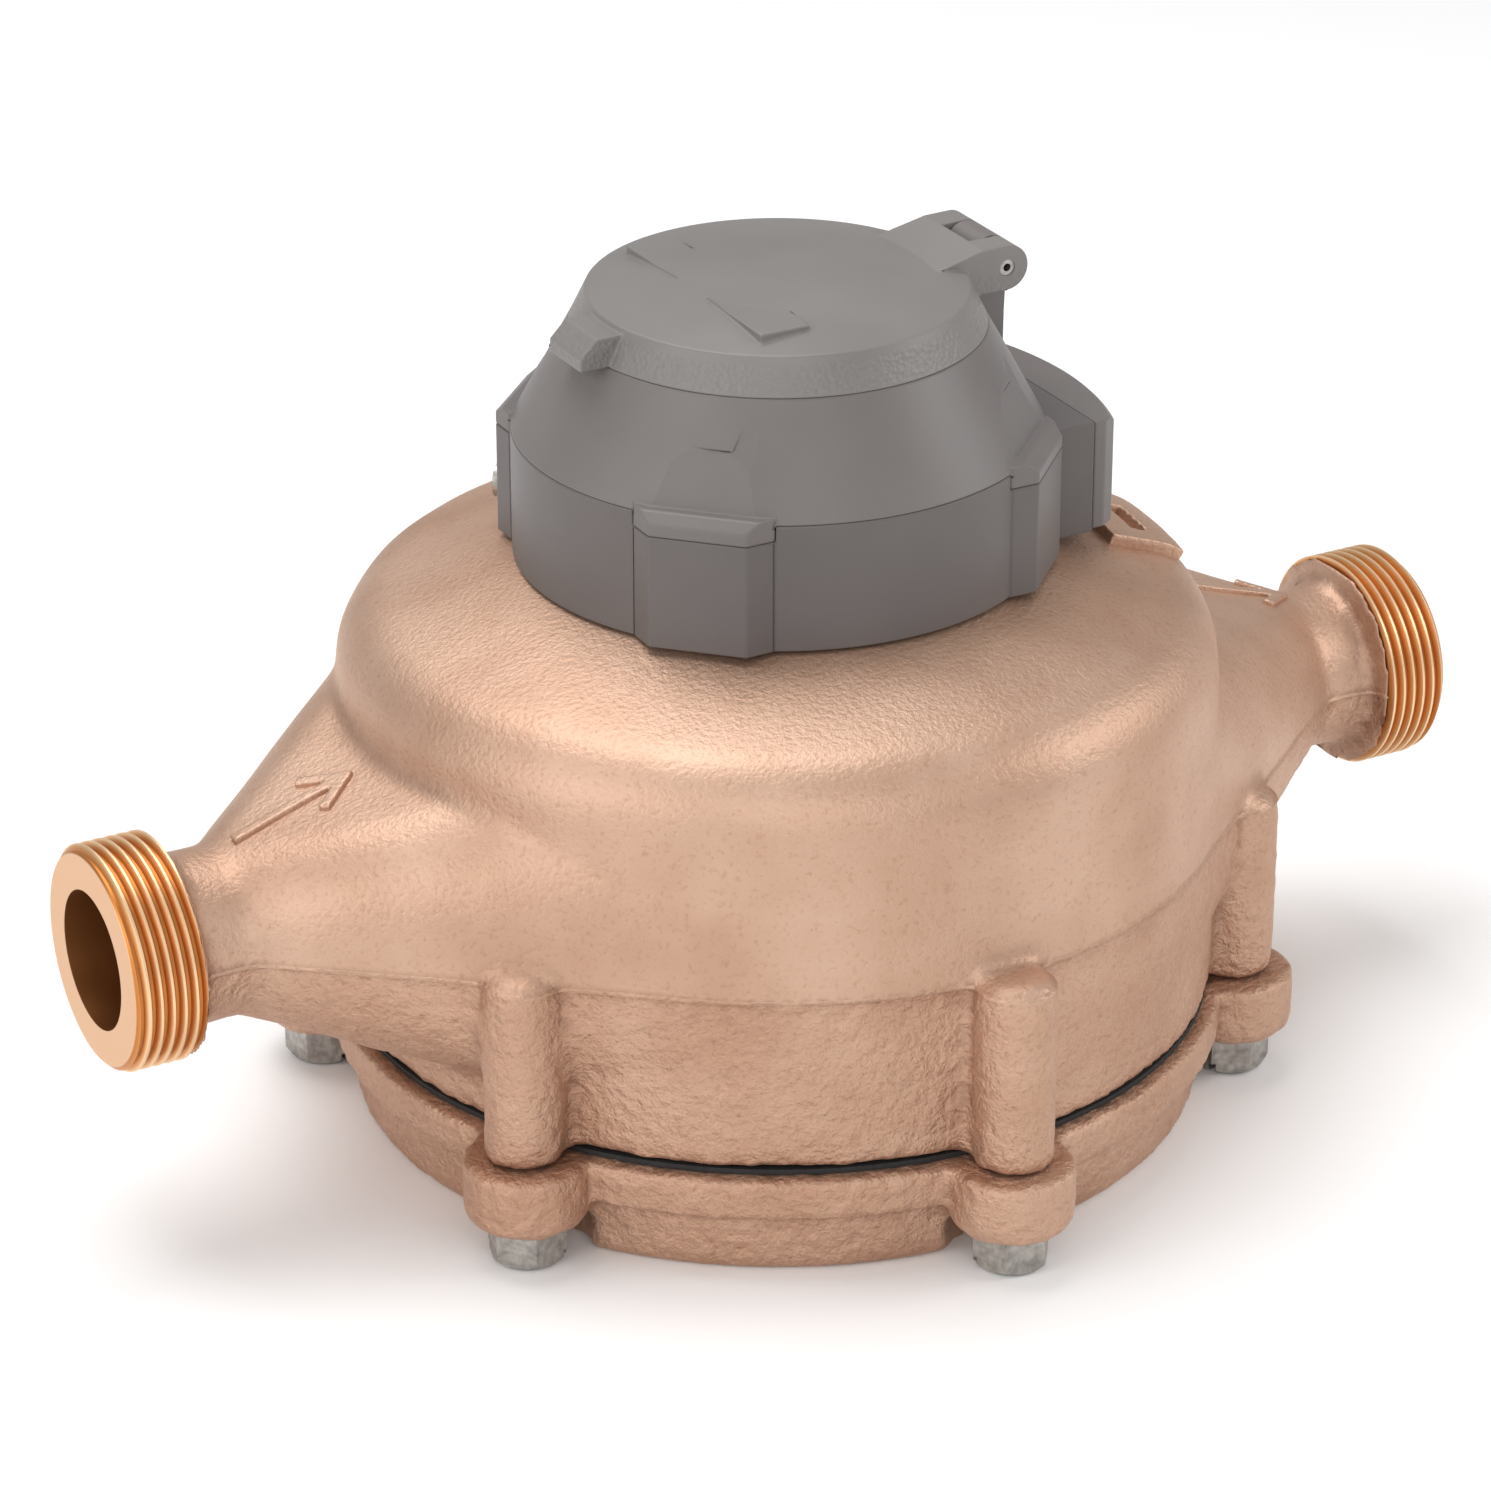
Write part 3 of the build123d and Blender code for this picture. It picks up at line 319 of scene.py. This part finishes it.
bpy.ops.mesh.bisect(plane_co=(0, 0, first_cut + thread_length), plane_no=(0, 0, 1), use_fill=True,
                    clear_outer=True)
bpy.ops.mesh.select_all(action="SELECT")
bpy.ops.mesh.normals_make_consistent(inside=False)
bpy.ops.object.mode_set(mode="OBJECT")
low_z = min(v.co.z for v in inlet.data.vertices)
onto_inlet = Matrix.Translation((-thread_back_x, 0, pipe_height)) @ Matrix.Rotation(math.radians(-90), 4, "Y")
put_in_place(inlet, onto_inlet @ Matrix.Translation((0, 0, -low_z)))

# a blank with its chamfer takes the thread down to the turned end, and a reamer opens the bore
blank = round_bar(thread_major_r, thread_length)
bpy.ops.object.mode_set(mode="EDIT")
bpy.ops.mesh.select_all(action="DESELECT")
bpy.ops.object.mode_set(mode="OBJECT")
for edge in blank.data.edges:
    edge.select = all(blank.data.vertices[i].co.x < -face_x + 0.1 * mm for i in edge.vertices)
bpy.ops.object.mode_set(mode="EDIT")
bpy.ops.mesh.select_mode(type="EDGE")
bpy.ops.mesh.bevel(offset=end_chamfer, segments=1)
bpy.ops.object.mode_set(mode="OBJECT")
cut_with(inlet, blank, "INTERSECT")
cut_with(inlet, round_bar(bore_r, 30 * mm), "DIFFERENCE")
pick(inlet)
bpy.ops.object.shade_smooth_by_angle(angle=smooth_below)

# Turned bronze: a warm gold metal with fine rings from the tool, a flat pale washer face, shade painted darker
# into the thread roots and the bore, and a highlight painted paler along the thread crests.
turned_bronze, tree, shader, where = new_material("turned_bronze")
axes = add_node(tree, "ShaderNodeSeparateXYZ", {"Vector": where})
level = add_node(tree, "ShaderNodeMath", {0: axes.outputs["Z"], 1: pipe_height}, operation="SUBTRACT")
around = add_node(tree, "ShaderNodeCombineXYZ", {"Y": axes.outputs["Y"], "Z": level.outputs["Value"]})
radius = add_node(tree, "ShaderNodeVectorMath", {0: around.outputs["Vector"]},
                  operation="LENGTH").outputs["Value"]
crest = add_node(tree, "ShaderNodeMapRange",
                 {"Value": radius, "From Min": thread_root_r, "From Max": thread_major_r})
# painted light: darker in the thread roots as shade, paler towards the crests as a highlight
root_shade_and_crest_light = add_node(tree, "ShaderNodeValToRGB", {"Fac": crest.outputs["Result"]},
                stops=((0.0, "#C27E42"), (0.55, "#DA9C60"), (0.97, "#F3D0A6")))
# painted shade: the bore is coloured a darker brown than the turned bronze around it
inside = add_node(tree, "ShaderNodeMapRange",
                  {"Value": radius, "From Min": bore_r + 0.3 * mm, "From Max": bore_r + 1.2 * mm})
bore_in_painted_shade = add_node(tree, "ShaderNodeMix",
                      {"Factor": inside.outputs["Result"], first_colour: colour("#A06A3C"),
                       second_colour: root_shade_and_crest_light.outputs["Color"]}, data_type="RGBA")
from_middle = add_node(tree, "ShaderNodeMath", {0: axes.outputs["X"]}, operation="ABSOLUTE")
on_face = add_node(tree, "ShaderNodeMapRange",
                   {"Value": from_middle.outputs["Value"], "From Min": face_x - 0.12 * mm,
                    "From Max": face_x - 0.02 * mm})
pale_face = add_node(tree, "ShaderNodeMix",
                     {"Factor": on_face.outputs["Result"], first_colour: bore_in_painted_shade.outputs[mixed_colour],
                      second_colour: colour("#DDB28C")}, data_type="RGBA")
tree.links.new(pale_face.outputs[mixed_colour], shader.inputs["Base Color"])
rings = add_node(tree, "ShaderNodeCombineXYZ", {"X": axes.outputs["X"], "Y": radius})
tool_marks = add_node(tree, "ShaderNodeTexNoise",
                      {"Vector": rings.outputs["Vector"], "Scale": 1 / (0.25 * mm), "Detail": 2.0})
scratches = add_node(tree, "ShaderNodeBump",
                     {"Height": tool_marks.outputs["Fac"], "Strength": 0.4, "Distance": 0.03 * mm})
tree.links.new(scratches.outputs["Normal"], shader.inputs["Normal"])
shader.inputs["Metallic"].default_value = 0.9
shader.inputs["Roughness"].default_value = 0.42
inlet.data.materials.append(turned_bronze)

outlet = bpy.data.objects.new("outlet_spud", inlet.data.copy())
bpy.context.collection.objects.link(outlet)
put_in_place(outlet, Matrix.Rotation(math.pi, 4, "Z"))
for spud in (inlet, outlet):
    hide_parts("main_housing")
    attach(spud, "housing")

# ---------------------------------------------------------------- marks raised in the casting
# The pattern carries a plain flow arrow on each end, pointing the way that the water goes, and a small
# slotted pad on the crown, which would suit a sealing wire. They stand proud, with soft edges.
arrow_length = 22 * mm
arrow_line = 2.2 * mm
arrow_height = 0.9 * mm
wing_length = 8.0 * mm
wing_angle = math.radians(40)
pad_length, pad_width, pad_height = 25 * mm, 14 * mm, 2.2 * mm
pad_turn = math.radians(82)
above_casting = 130 * mm
pad_middle = Vector((67 * mm, -9 * mm, above_casting))


def drape(piece, sink, stand):
    """Lays a flat piece onto the housing from above and thickens it into a soft raised mark."""
    pick(piece)
    bpy.ops.object.transform_apply()
    apply_modifier(piece, "SHRINKWRAP", target=housing, wrap_method="PROJECT", use_project_z=True,
                   use_project_x=False, use_project_y=False, use_negative_direction=True,
                   use_positive_direction=False, project_limit=0.0)
    apply_modifier(piece, "SOLIDIFY", thickness=stand + sink, offset=-1.0 + 2 * stand / (stand + sink))
    soften(piece, 0.35 * mm, 3)
    piece.data.materials.append(housing.data.materials[0])
    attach(piece, "housing")


def flat_bar(length, width, x, y, turn, cells_along=24, cells_across=4):
    """Flat strip above the casting, cut fine enough to follow its surface."""
    bpy.ops.mesh.primitive_grid_add(x_subdivisions=cells_along, y_subdivisions=cells_across, size=1,
                                    location=(x, y, above_casting), rotation=(0, 0, turn))
    bar = bpy.context.object
    bar.scale = (length, width, 1)
    bpy.ops.object.transform_apply()
    return bar


def join_all(pieces, name):
    """Joins several pieces into one and names it."""
    deselect_all()
    for piece in pieces:
        piece.select_set(True)
    bpy.context.view_layer.objects.active = pieces[0]
    bpy.ops.object.join()
    bpy.context.object.name = name
    return bpy.context.object


for name, middle_x in (("inlet_flow_arrow", -98 * mm), ("outlet_flow_arrow", 100 * mm)):
    deselect_all()
    wing_x = middle_x + arrow_length / 2 - wing_length * math.cos(wing_angle) / 2
    wing_y = wing_length * math.sin(wing_angle) / 2
    bars = [flat_bar(arrow_length, arrow_line, middle_x, 0, 0)]
    bars += [flat_bar(wing_length + arrow_line, arrow_line, wing_x, side * wing_y, -side * wing_angle)
             for side in (-1, 1)]
    drape(join_all(bars, name), 0.8 * mm, arrow_height)

pad = flat_bar(pad_length, pad_width, pad_middle.x, pad_middle.y, pad_turn, 26, 14)
pad.name = "seal_wire_pad"
pick(pad)
bpy.ops.object.mode_set(mode="EDIT")
bpy.ops.mesh.select_mode(type="FACE")
bpy.ops.mesh.select_all(action="DESELECT")
bpy.ops.object.mode_set(mode="OBJECT")
for face in pad.data.polygons:
    along, across, _ = Matrix.Rotation(-pad_turn, 3, "Z") @ (face.center - pad_middle)
    face.select = abs(along + 1.5 * mm) < 6 * mm and abs(across + 0.5 * mm) < 1.6 * mm
bpy.ops.object.mode_set(mode="EDIT")
bpy.ops.mesh.delete(type="FACE")
bpy.ops.object.mode_set(mode="OBJECT")
drape(pad, 1.0 * mm, pad_height)

# ---------------------------------------------------------------- bottom cover
# A second bronze casting closes the drum from below: a flange with six thick lugs, and a skirt that the
# meter stands on, cut away under each lug so that a wrench reaches the screw.
cover_cell = 1.05 * mm
cover_pit_level = 0.4


def cover_relief(place):
    """The pits of the coarse sand, which fade out towards the foot so that it stands flat."""
    return pit_depth * (noise.noise(place / pit_size) - cover_pit_level) * min(place.z / pit_fade, 1.0)


cover = copy_of("bottom_cover", "cast_cover")
soften(cover, cover_cell, smoothing_passes)
push_out(cover, cover_relief)
# cast in the coarse sand all over, so its marks start above the whole cover
cover.data.materials.append(cast_bronze("coarse_cast_bronze", 200 * mm))
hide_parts("bottom_cover")
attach(cover, "housing")

# ---------------------------------------------------------------- cover screws
# Six slotted hex-head screws in stainless steel, driven up through the cover's lugs. The small screws,
# the pins, the shafts and the chamber's plate have the same finish.
#
# Stainless steel, as forged: dull grey, faintly mottled, with a broad soft gleam.
stainless, tree, shader, where = new_material("stainless_steel")
mottle = add_node(tree, "ShaderNodeTexNoise", {"Vector": where, "Scale": 1 / (1.6 * mm), "Detail": 4.0})
greys = add_node(tree, "ShaderNodeValToRGB", {"Fac": mottle.outputs["Fac"]},
                 stops=((0.3, "#8F8B86"), (0.7, "#BDB9B3")))
tree.links.new(greys.outputs["Color"], shader.inputs["Base Color"])
forged = add_node(tree, "ShaderNodeBump",
                  {"Height": mottle.outputs["Fac"], "Strength": 0.4, "Distance": 0.05 * mm})
tree.links.new(forged.outputs["Normal"], shader.inputs["Normal"])
shader.inputs["Metallic"].default_value = 0.9
shader.inputs["Roughness"].default_value = 0.42


def finish_node(node, material):
    """Gives a CAD node its finished material."""
    slots = frame["nodes"][node].data.materials
    slots.clear()
    slots.append(material)


for node in ("cover_bolts", "bearing_pin", "disc_spindle", "hinge_pin", "seal_screw", "box_cover_screws",
             "counter_shaft", "partition_plate"):
    finish_node(node, stainless)

# ---------------------------------------------------------------- register shroud
# Four mouldings in one warm grey plastic: base, dome with the box cover, and lid. Each is painted a little
# paler than the one below it, the lid with light from above and the base with shade. They close over the
# register, and the joints between them are thin dark lines.
edge_radius = 0.35 * mm
flat_within = math.radians(0.2)
edge_from = math.radians(28)
crease_from = math.radians(4.6)
pocket_reach = 7 * mm
shortest_edge = 2.2 * edge_radius
lid_band = 5.6 * mm
no_band = 300 * mm


# Etched plastic, moulded: matt warm grey with a fine stipple and a soft broad sheen.
def etched_plastic(name, dark, light, band_from, band_height=1 * mm):
    """Grey moulded plastic; the stipple is coarser in one band, where the mould was etched deeper."""
    material, tree, shader, where = new_material(name)
    band_to = band_from + band_height
    stipple = add_node(tree, "ShaderNodeTexNoise",
                       {"Vector": where, "Scale": 1 / (0.55 * mm), "Detail": 2.0, "Roughness": 0.55})
    deep = add_node(tree, "ShaderNodeTexVoronoi", {"Vector": where, "Scale": 1 / (0.95 * mm)}, feature="F1")
    height = add_node(tree, "ShaderNodeSeparateXYZ", {"Vector": where}).outputs["Z"]
    above = add_node(tree, "ShaderNodeMapRange",
                     {"Value": height, "From Min": band_from, "From Max": band_from + 0.8 * mm})
    under = add_node(tree, "ShaderNodeMapRange",
                     {"Value": height, "From Min": band_to, "From Max": band_to - 0.8 * mm})
    band = add_node(tree, "ShaderNodeMath", {0: above.outputs["Result"], 1: under.outputs["Result"]},
                    operation="MULTIPLY").outputs["Value"]
    haze = add_node(tree, "ShaderNodeTexNoise", {"Vector": where, "Scale": 1 / (30 * mm), "Detail": 2.0})
    tint = add_node(tree, "ShaderNodeValToRGB", {"Fac": haze.outputs["Fac"]},
                    stops=((0.3, dark), (0.7, light)))
    tree.links.new(tint.outputs["Color"], shader.inputs["Base Color"])
    fine = add_node(tree, "ShaderNodeBump",
                    {"Height": stipple.outputs["Fac"], "Strength": 0.5, "Distance": 0.06 * mm})
    strong = add_node(tree, "ShaderNodeBump",
                      {"Height": deep.outputs["Distance"], "Strength": band, "Distance": 0.16 * mm,
                       "Normal": fine.outputs["Normal"]})
    tree.links.new(strong.outputs["Normal"], shader.inputs["Normal"])
    shader.inputs["Roughness"].default_value = 0.43
    shader.inputs["Specular IOR Level"].default_value = 0.5
    return material


def round_edges(piece):
    """Gives the sharp edges of a merged copy a small radius, as the polished mould does."""
    pick(piece)
    bpy.ops.mesh.customdata_custom_splitnormals_clear()
    bpy.ops.object.mode_set(mode="EDIT")
    bpy.ops.mesh.select_all(action="SELECT")
    bpy.ops.mesh.dissolve_limited(angle_limit=flat_within)
    bpy.ops.mesh.normals_make_consistent(inside=False)
    bpy.ops.mesh.select_all(action="DESELECT")
    bpy.ops.mesh.select_mode(type="EDGE")
    bpy.ops.mesh.edges_select_sharp(sharpness=edge_from)
    bpy.ops.object.mode_set(mode="OBJECT")
    # the seal screw's pocket and the small holes stay sharp: a rounded edge there would run into the next one
    low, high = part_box("seal_screw")
    spots = [vertex.co for vertex in piece.data.vertices]
    for edge in piece.data.edges:
        first, last = (spots[i] for i in edge.vertices)
        in_pocket = all(low[i] - pocket_reach < first[i] < high[i] + pocket_reach for i in range(3))
        edge.select = edge.select and not in_pocket and (first - last).length > shortest_edge
    bpy.ops.object.mode_set(mode="EDIT")
    bpy.ops.mesh.bevel(offset=edge_radius, segments=2, clamp_overlap=False)
    bpy.ops.object.mode_set(mode="OBJECT")
    bpy.ops.object.shade_smooth_by_angle(angle=crease_from)


lid_seam = min(v.co.z for v in frame["nodes"]["lid"].data.vertices)
# painted light: the base gets a darker grey as shade and the lid a paler grey as light from above
shaded_base_grey = etched_plastic("etched_grey_base_plastic_painted_shade", "#5A5453", "#615B59", no_band)
shroud_grey = etched_plastic("etched_grey_plastic", "#67615F", "#6E6967", no_band)
lit_lid_grey = etched_plastic("etched_grey_lid_plastic_painted_light", "#736F6C", "#7B7775", lid_seam, lid_band)
for node, name, body, material in (("register_base", "shroud_base", "housing", shaded_base_grey),
                                   ("register_dome", "shroud_dome", "housing", shroud_grey),
                                   ("box_cover", "shroud_box_cover", "housing", shroud_grey),
                                   ("lid", "shroud_lid", "lid", lit_lid_grey)):
    moulding = copy_of(node, name)
    round_edges(moulding)
    moulding.data.materials.append(material)
    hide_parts(node)
    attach(moulding, body)

# ---------------------------------------------------------------- sealed register
# A drawn brass can with a glass window and a rubber ring. Behind the glass lie the white dial, its
# sweep hand and leak rotor in red, and the brass plates and white gears of the movement.
#
# Drawn brass: warm yellow with faint brown tarnish and a clear gleam.
drawn_brass, tree, shader, where = new_material("drawn_brass")
tarnish = add_node(tree, "ShaderNodeTexNoise", {"Vector": where, "Scale": 1 / (9 * mm), "Detail": 4.0})
brass_tint = add_node(tree, "ShaderNodeValToRGB", {"Fac": tarnish.outputs["Fac"]},
                      stops=((0.35, "#B08A45"), (0.7, "#CFAE68")))
tree.links.new(brass_tint.outputs["Color"], shader.inputs["Base Color"])
shader.inputs["Metallic"].default_value = 1.0
shader.inputs["Roughness"].default_value = 0.3
for node in ("register_can", "movement_plate", "movement_pillars", "counter_frame", "terminal_screws"):
    finish_node(node, drawn_brass)

# Polished glass: almost clear, with a touch of green and sharp reflections of the lights.
window_glass, tree, shader, where = new_material("clear_glass")
shader.inputs["Base Color"].default_value = colour("#2E4440")
shader.inputs["Roughness"].default_value = 0.03
shader.inputs["IOR"].default_value = 1.5
shader.inputs["Alpha"].default_value = 0.1
finish_node("lens", window_glass)


def plain_finish(name, dark, light, patch, roughness):
    """Moulded or painted finish: one colour that drifts a little from patch to patch, with a fine bump."""
    material, tree, shader, where = new_material(name)
    drift = add_node(tree, "ShaderNodeTexNoise", {"Vector": where, "Scale": 1 / patch, "Detail": 3.0})
    tint = add_node(tree, "ShaderNodeValToRGB", {"Fac": drift.outputs["Fac"]},
                    stops=((0.3, dark), (0.7, light)))
    tree.links.new(tint.outputs["Color"], shader.inputs["Base Color"])
    bump = add_node(tree, "ShaderNodeBump",
                    {"Height": drift.outputs["Fac"], "Strength": 0.3, "Distance": 0.03 * mm})
    tree.links.new(bump.outputs["Normal"], shader.inputs["Normal"])
    shader.inputs["Roughness"].default_value = roughness
    return material


# Satin enamel on aluminium: an even warm white with a low sheen.
dial_enamel = plain_finish("white_dial_enamel", "#CFCDC6", "#D8D6CF", 4 * mm, 0.45)
# Acetal, moulded: creamy white gears with a waxy sheen.
acetal = plain_finish("white_acetal", "#D9D6CC", "#E8E5DC", 2 * mm, 0.4)
# Red enamel on the hand and the leak rotor: a strong plain red that is found at a glance.
red_enamel = plain_finish("red_enamel", "#B3170F", "#C4241A", 2 * mm, 0.35)
# Printing ink: flat black figures and lines.
black_print = plain_finish("black_print", "#151515", "#202020", 2 * mm, 0.5)
# Nitrile rubber, moulded: black and dull.
seal_rubber = plain_finish("nitrile_rubber", "#1B1B1C", "#262627", 1 * mm, 0.7)
# Filled polymer, moulded: charcoal with a low sheen.
chamber_polymer = plain_finish("filled_black_polymer", "#2A2C2F", "#36383B", 3 * mm, 0.5)
# Hard rubber, moulded: black with a slight polish.
disc_rubber = plain_finish("hard_rubber", "#1A1A1C", "#242426", 3 * mm, 0.4)
# Sintered ferrite: dark grey and stony.
ferrite = plain_finish("sintered_ferrite", "#2B2B2D", "#3A3A3C", 1 * mm, 0.55)
# Solder mask on a circuit board: glossy dark green.
solder_mask = plain_finish("green_solder_mask", "#1C5A34", "#226A3D", 3 * mm, 0.35)
finishes = {
    dial_enamel: ("dial_plate",),
    acetal: ("follower", "magnet_arbor", "first_gear", "second_gear", "third_gear", "sweep_arbor",
             "counter_drive", "shaft_gear"),
    red_enamel: ("sweep_hand", "leak_indicator"),
    seal_rubber: ("cover_gasket", "outlet_seal", "lens_seal"),
    chamber_polymer: ("chamber_top", "chamber_bottom", "chamber_spacer", "strainer", "outlet_duct"),
    disc_rubber: ("nutating_disc",),
    ferrite: ("drive_magnet", "driven_magnet"),
    solder_mask: ("terminal_board",),
}
for material, nodes in finishes.items():
    for node in nodes:
        finish_node(node, material)

# ---------------------------------------------------------------- dial print
# A ring of a hundred divisions for the sweep hand, with a figure at every tenth, printed in black on
# the enamelled plate. The figures' tops point towards the outlet.
dial_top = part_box("dial_plate")[1][2]
print_thickness = 0.06 * mm
scale_outer_r = 30.6 * mm
figure_inset = 5.4 * mm
figure_size = 4.6 * mm
long_tick, middle_tick, short_tick = 2.6 * mm, 1.9 * mm, 1.2 * mm
thick_line, thin_line = 0.6 * mm, 0.32 * mm


def flat_figure(text, size, place, turn_z):
    """One printed figure, lying flat and centred on its place."""
    bpy.ops.object.text_add(location=place, rotation=(0, 0, turn_z))
    figure = bpy.context.object
    figure.data.body = text
    figure.data.size = size
    figure.data.align_x = "CENTER"
    figure.data.align_y = "CENTER"
    figure.data.extrude = print_thickness
    bpy.ops.object.convert(target="MESH")
    bpy.ops.object.transform_apply()
    return bpy.context.object


def on_dial(r, turn_z):
    """Place on the dial's face."""
    return (r * math.cos(turn_z), r * math.sin(turn_z), dial_top)


marks = []
deselect_all()
for i in range(100):
    length = long_tick if i % 10 == 0 else middle_tick if i % 5 == 0 else short_tick
    turn_z = math.radians(3.6 * i)
    bpy.ops.mesh.primitive_cube_add(size=1, location=on_dial(scale_outer_r - length / 2, turn_z),
                                    rotation=(0, 0, turn_z))
    tick = bpy.context.object
    tick.scale = (length, thick_line if i % 10 == 0 else thin_line, 2 * print_thickness)
    bpy.ops.object.transform_apply()
    marks.append(tick)
for i in range(10):
    place = on_dial(scale_outer_r - figure_inset, math.radians(-36.0 * i))
    marks.append(flat_figure(str(i), figure_size, place, -math.pi / 2))
dial_print = join_all(marks, "dial_print")
dial_print.data.materials.append(black_print)
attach(dial_print, "housing")

# ---------------------------------------------------------------- number wheels
# Six small moulded drums on one shaft, each printed 0 to 9 round its rim. The four that count the most
# are white with black figures, and the two fast ones are black with white figures.
#
# Wheel plastic, moulded: clean white or black with a slight gloss.
white_rim = plain_finish("white_wheel_plastic", "#ECEBE6", "#F5F4F0", 2 * mm, 0.35)
black_rim = plain_finish("black_wheel_plastic", "#161616", "#1F1F1F", 2 * mm, 0.35)
for index in range(1, 7):
    node = f"number_wheel_{index}"
    low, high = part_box(node)
    centre = [(a + b) / 2 for a, b in zip(low, high)]
    wheel_r = (high[2] - low[2]) / 2
    fast = index <= 2
    finish_node(node, black_rim if fast else white_rim)
    figures = []
    for digit in range(10):
        figure = flat_figure(str(digit), 3.3 * mm, (0, 0, wheel_r), -math.pi / 2)
        put_in_place(figure, Matrix.Translation(centre) @ Matrix.Rotation(math.radians(36.0 * digit), 4, "Y"))
        figures.append(figure)
    rim_print = join_all(figures, f"wheel_figures_{index}")
    rim_print.data.materials.append(white_rim if fast else black_print)
    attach(rim_print, f"wheel_{index}")

# ---------------------------------------------------------------- studio
# A pale sheet of paper under the meter and even white light all round it, with one large soft light
# above and smaller ones at the front, the left and the right.
bpy.ops.mesh.primitive_plane_add(size=6, location=(0, 0, 0))
floor = bpy.context.object
floor.name = "studio_floor"
pale, tree, shader, where = new_material("white_paper")
shader.inputs["Base Color"].default_value = colour("#FAFAFA")
shader.inputs["Roughness"].default_value = 0.9
floor.data.materials.append(pale)

world = bpy.data.worlds.new("studio")
bpy.context.scene.world = world
world.use_nodes = True
background = world.node_tree.nodes["Background"]
background.inputs["Color"].default_value = colour("#FFFFFF")
background.inputs["Strength"].default_value = 0.46


def soft_light(name, place, size, watts):
    """Square soft box aimed at the middle of the meter."""
    bpy.ops.object.light_add(type="AREA", location=place)
    lamp = bpy.context.object
    lamp.name = name
    lamp.data.shape = "SQUARE"
    lamp.data.size = size
    lamp.data.energy = watts
    aim = Vector((0, 0, pipe_height)) - Vector(place)
    lamp.rotation_euler = aim.to_track_quat("-Z", "Y").to_euler()


soft_light("top_box", (-0.1, 0.35, 1.15), 0.9, 9.0)
soft_light("front_box", (-0.30, -0.95, 0.5), 0.7, 2.8)
soft_light("left_box", (-1.0, -0.2, 0.5), 0.8, 4.5)
soft_light("right_box", (0.9, -0.5, 0.6), 0.5, 3.5)

azimuth, elevation = math.radians(-28.767), math.radians(25.688)
distance = 1027.4 * mm
aim_left, aim_up = 5.75 * mm, 9.0 * mm
back = Vector((math.sin(azimuth) * math.cos(elevation), -math.cos(azimuth) * math.cos(elevation),
               math.sin(elevation)))
right = Vector((math.cos(azimuth), math.sin(azimuth), 0))
up = right.cross(back) * -1
look_at = Vector((0, 0, pipe_height)) - aim_left * right + aim_up * up
bpy.ops.object.camera_add()
camera = bpy.context.object
camera.data.sensor_width = 36
camera.data.lens = 134.0
turned = Matrix((right, up, back)).transposed().to_4x4()
camera.matrix_world = Matrix.Translation(look_at + distance * back) @ turned
bpy.context.scene.camera = camera
bpy.context.scene.view_settings.view_transform = "Standard"
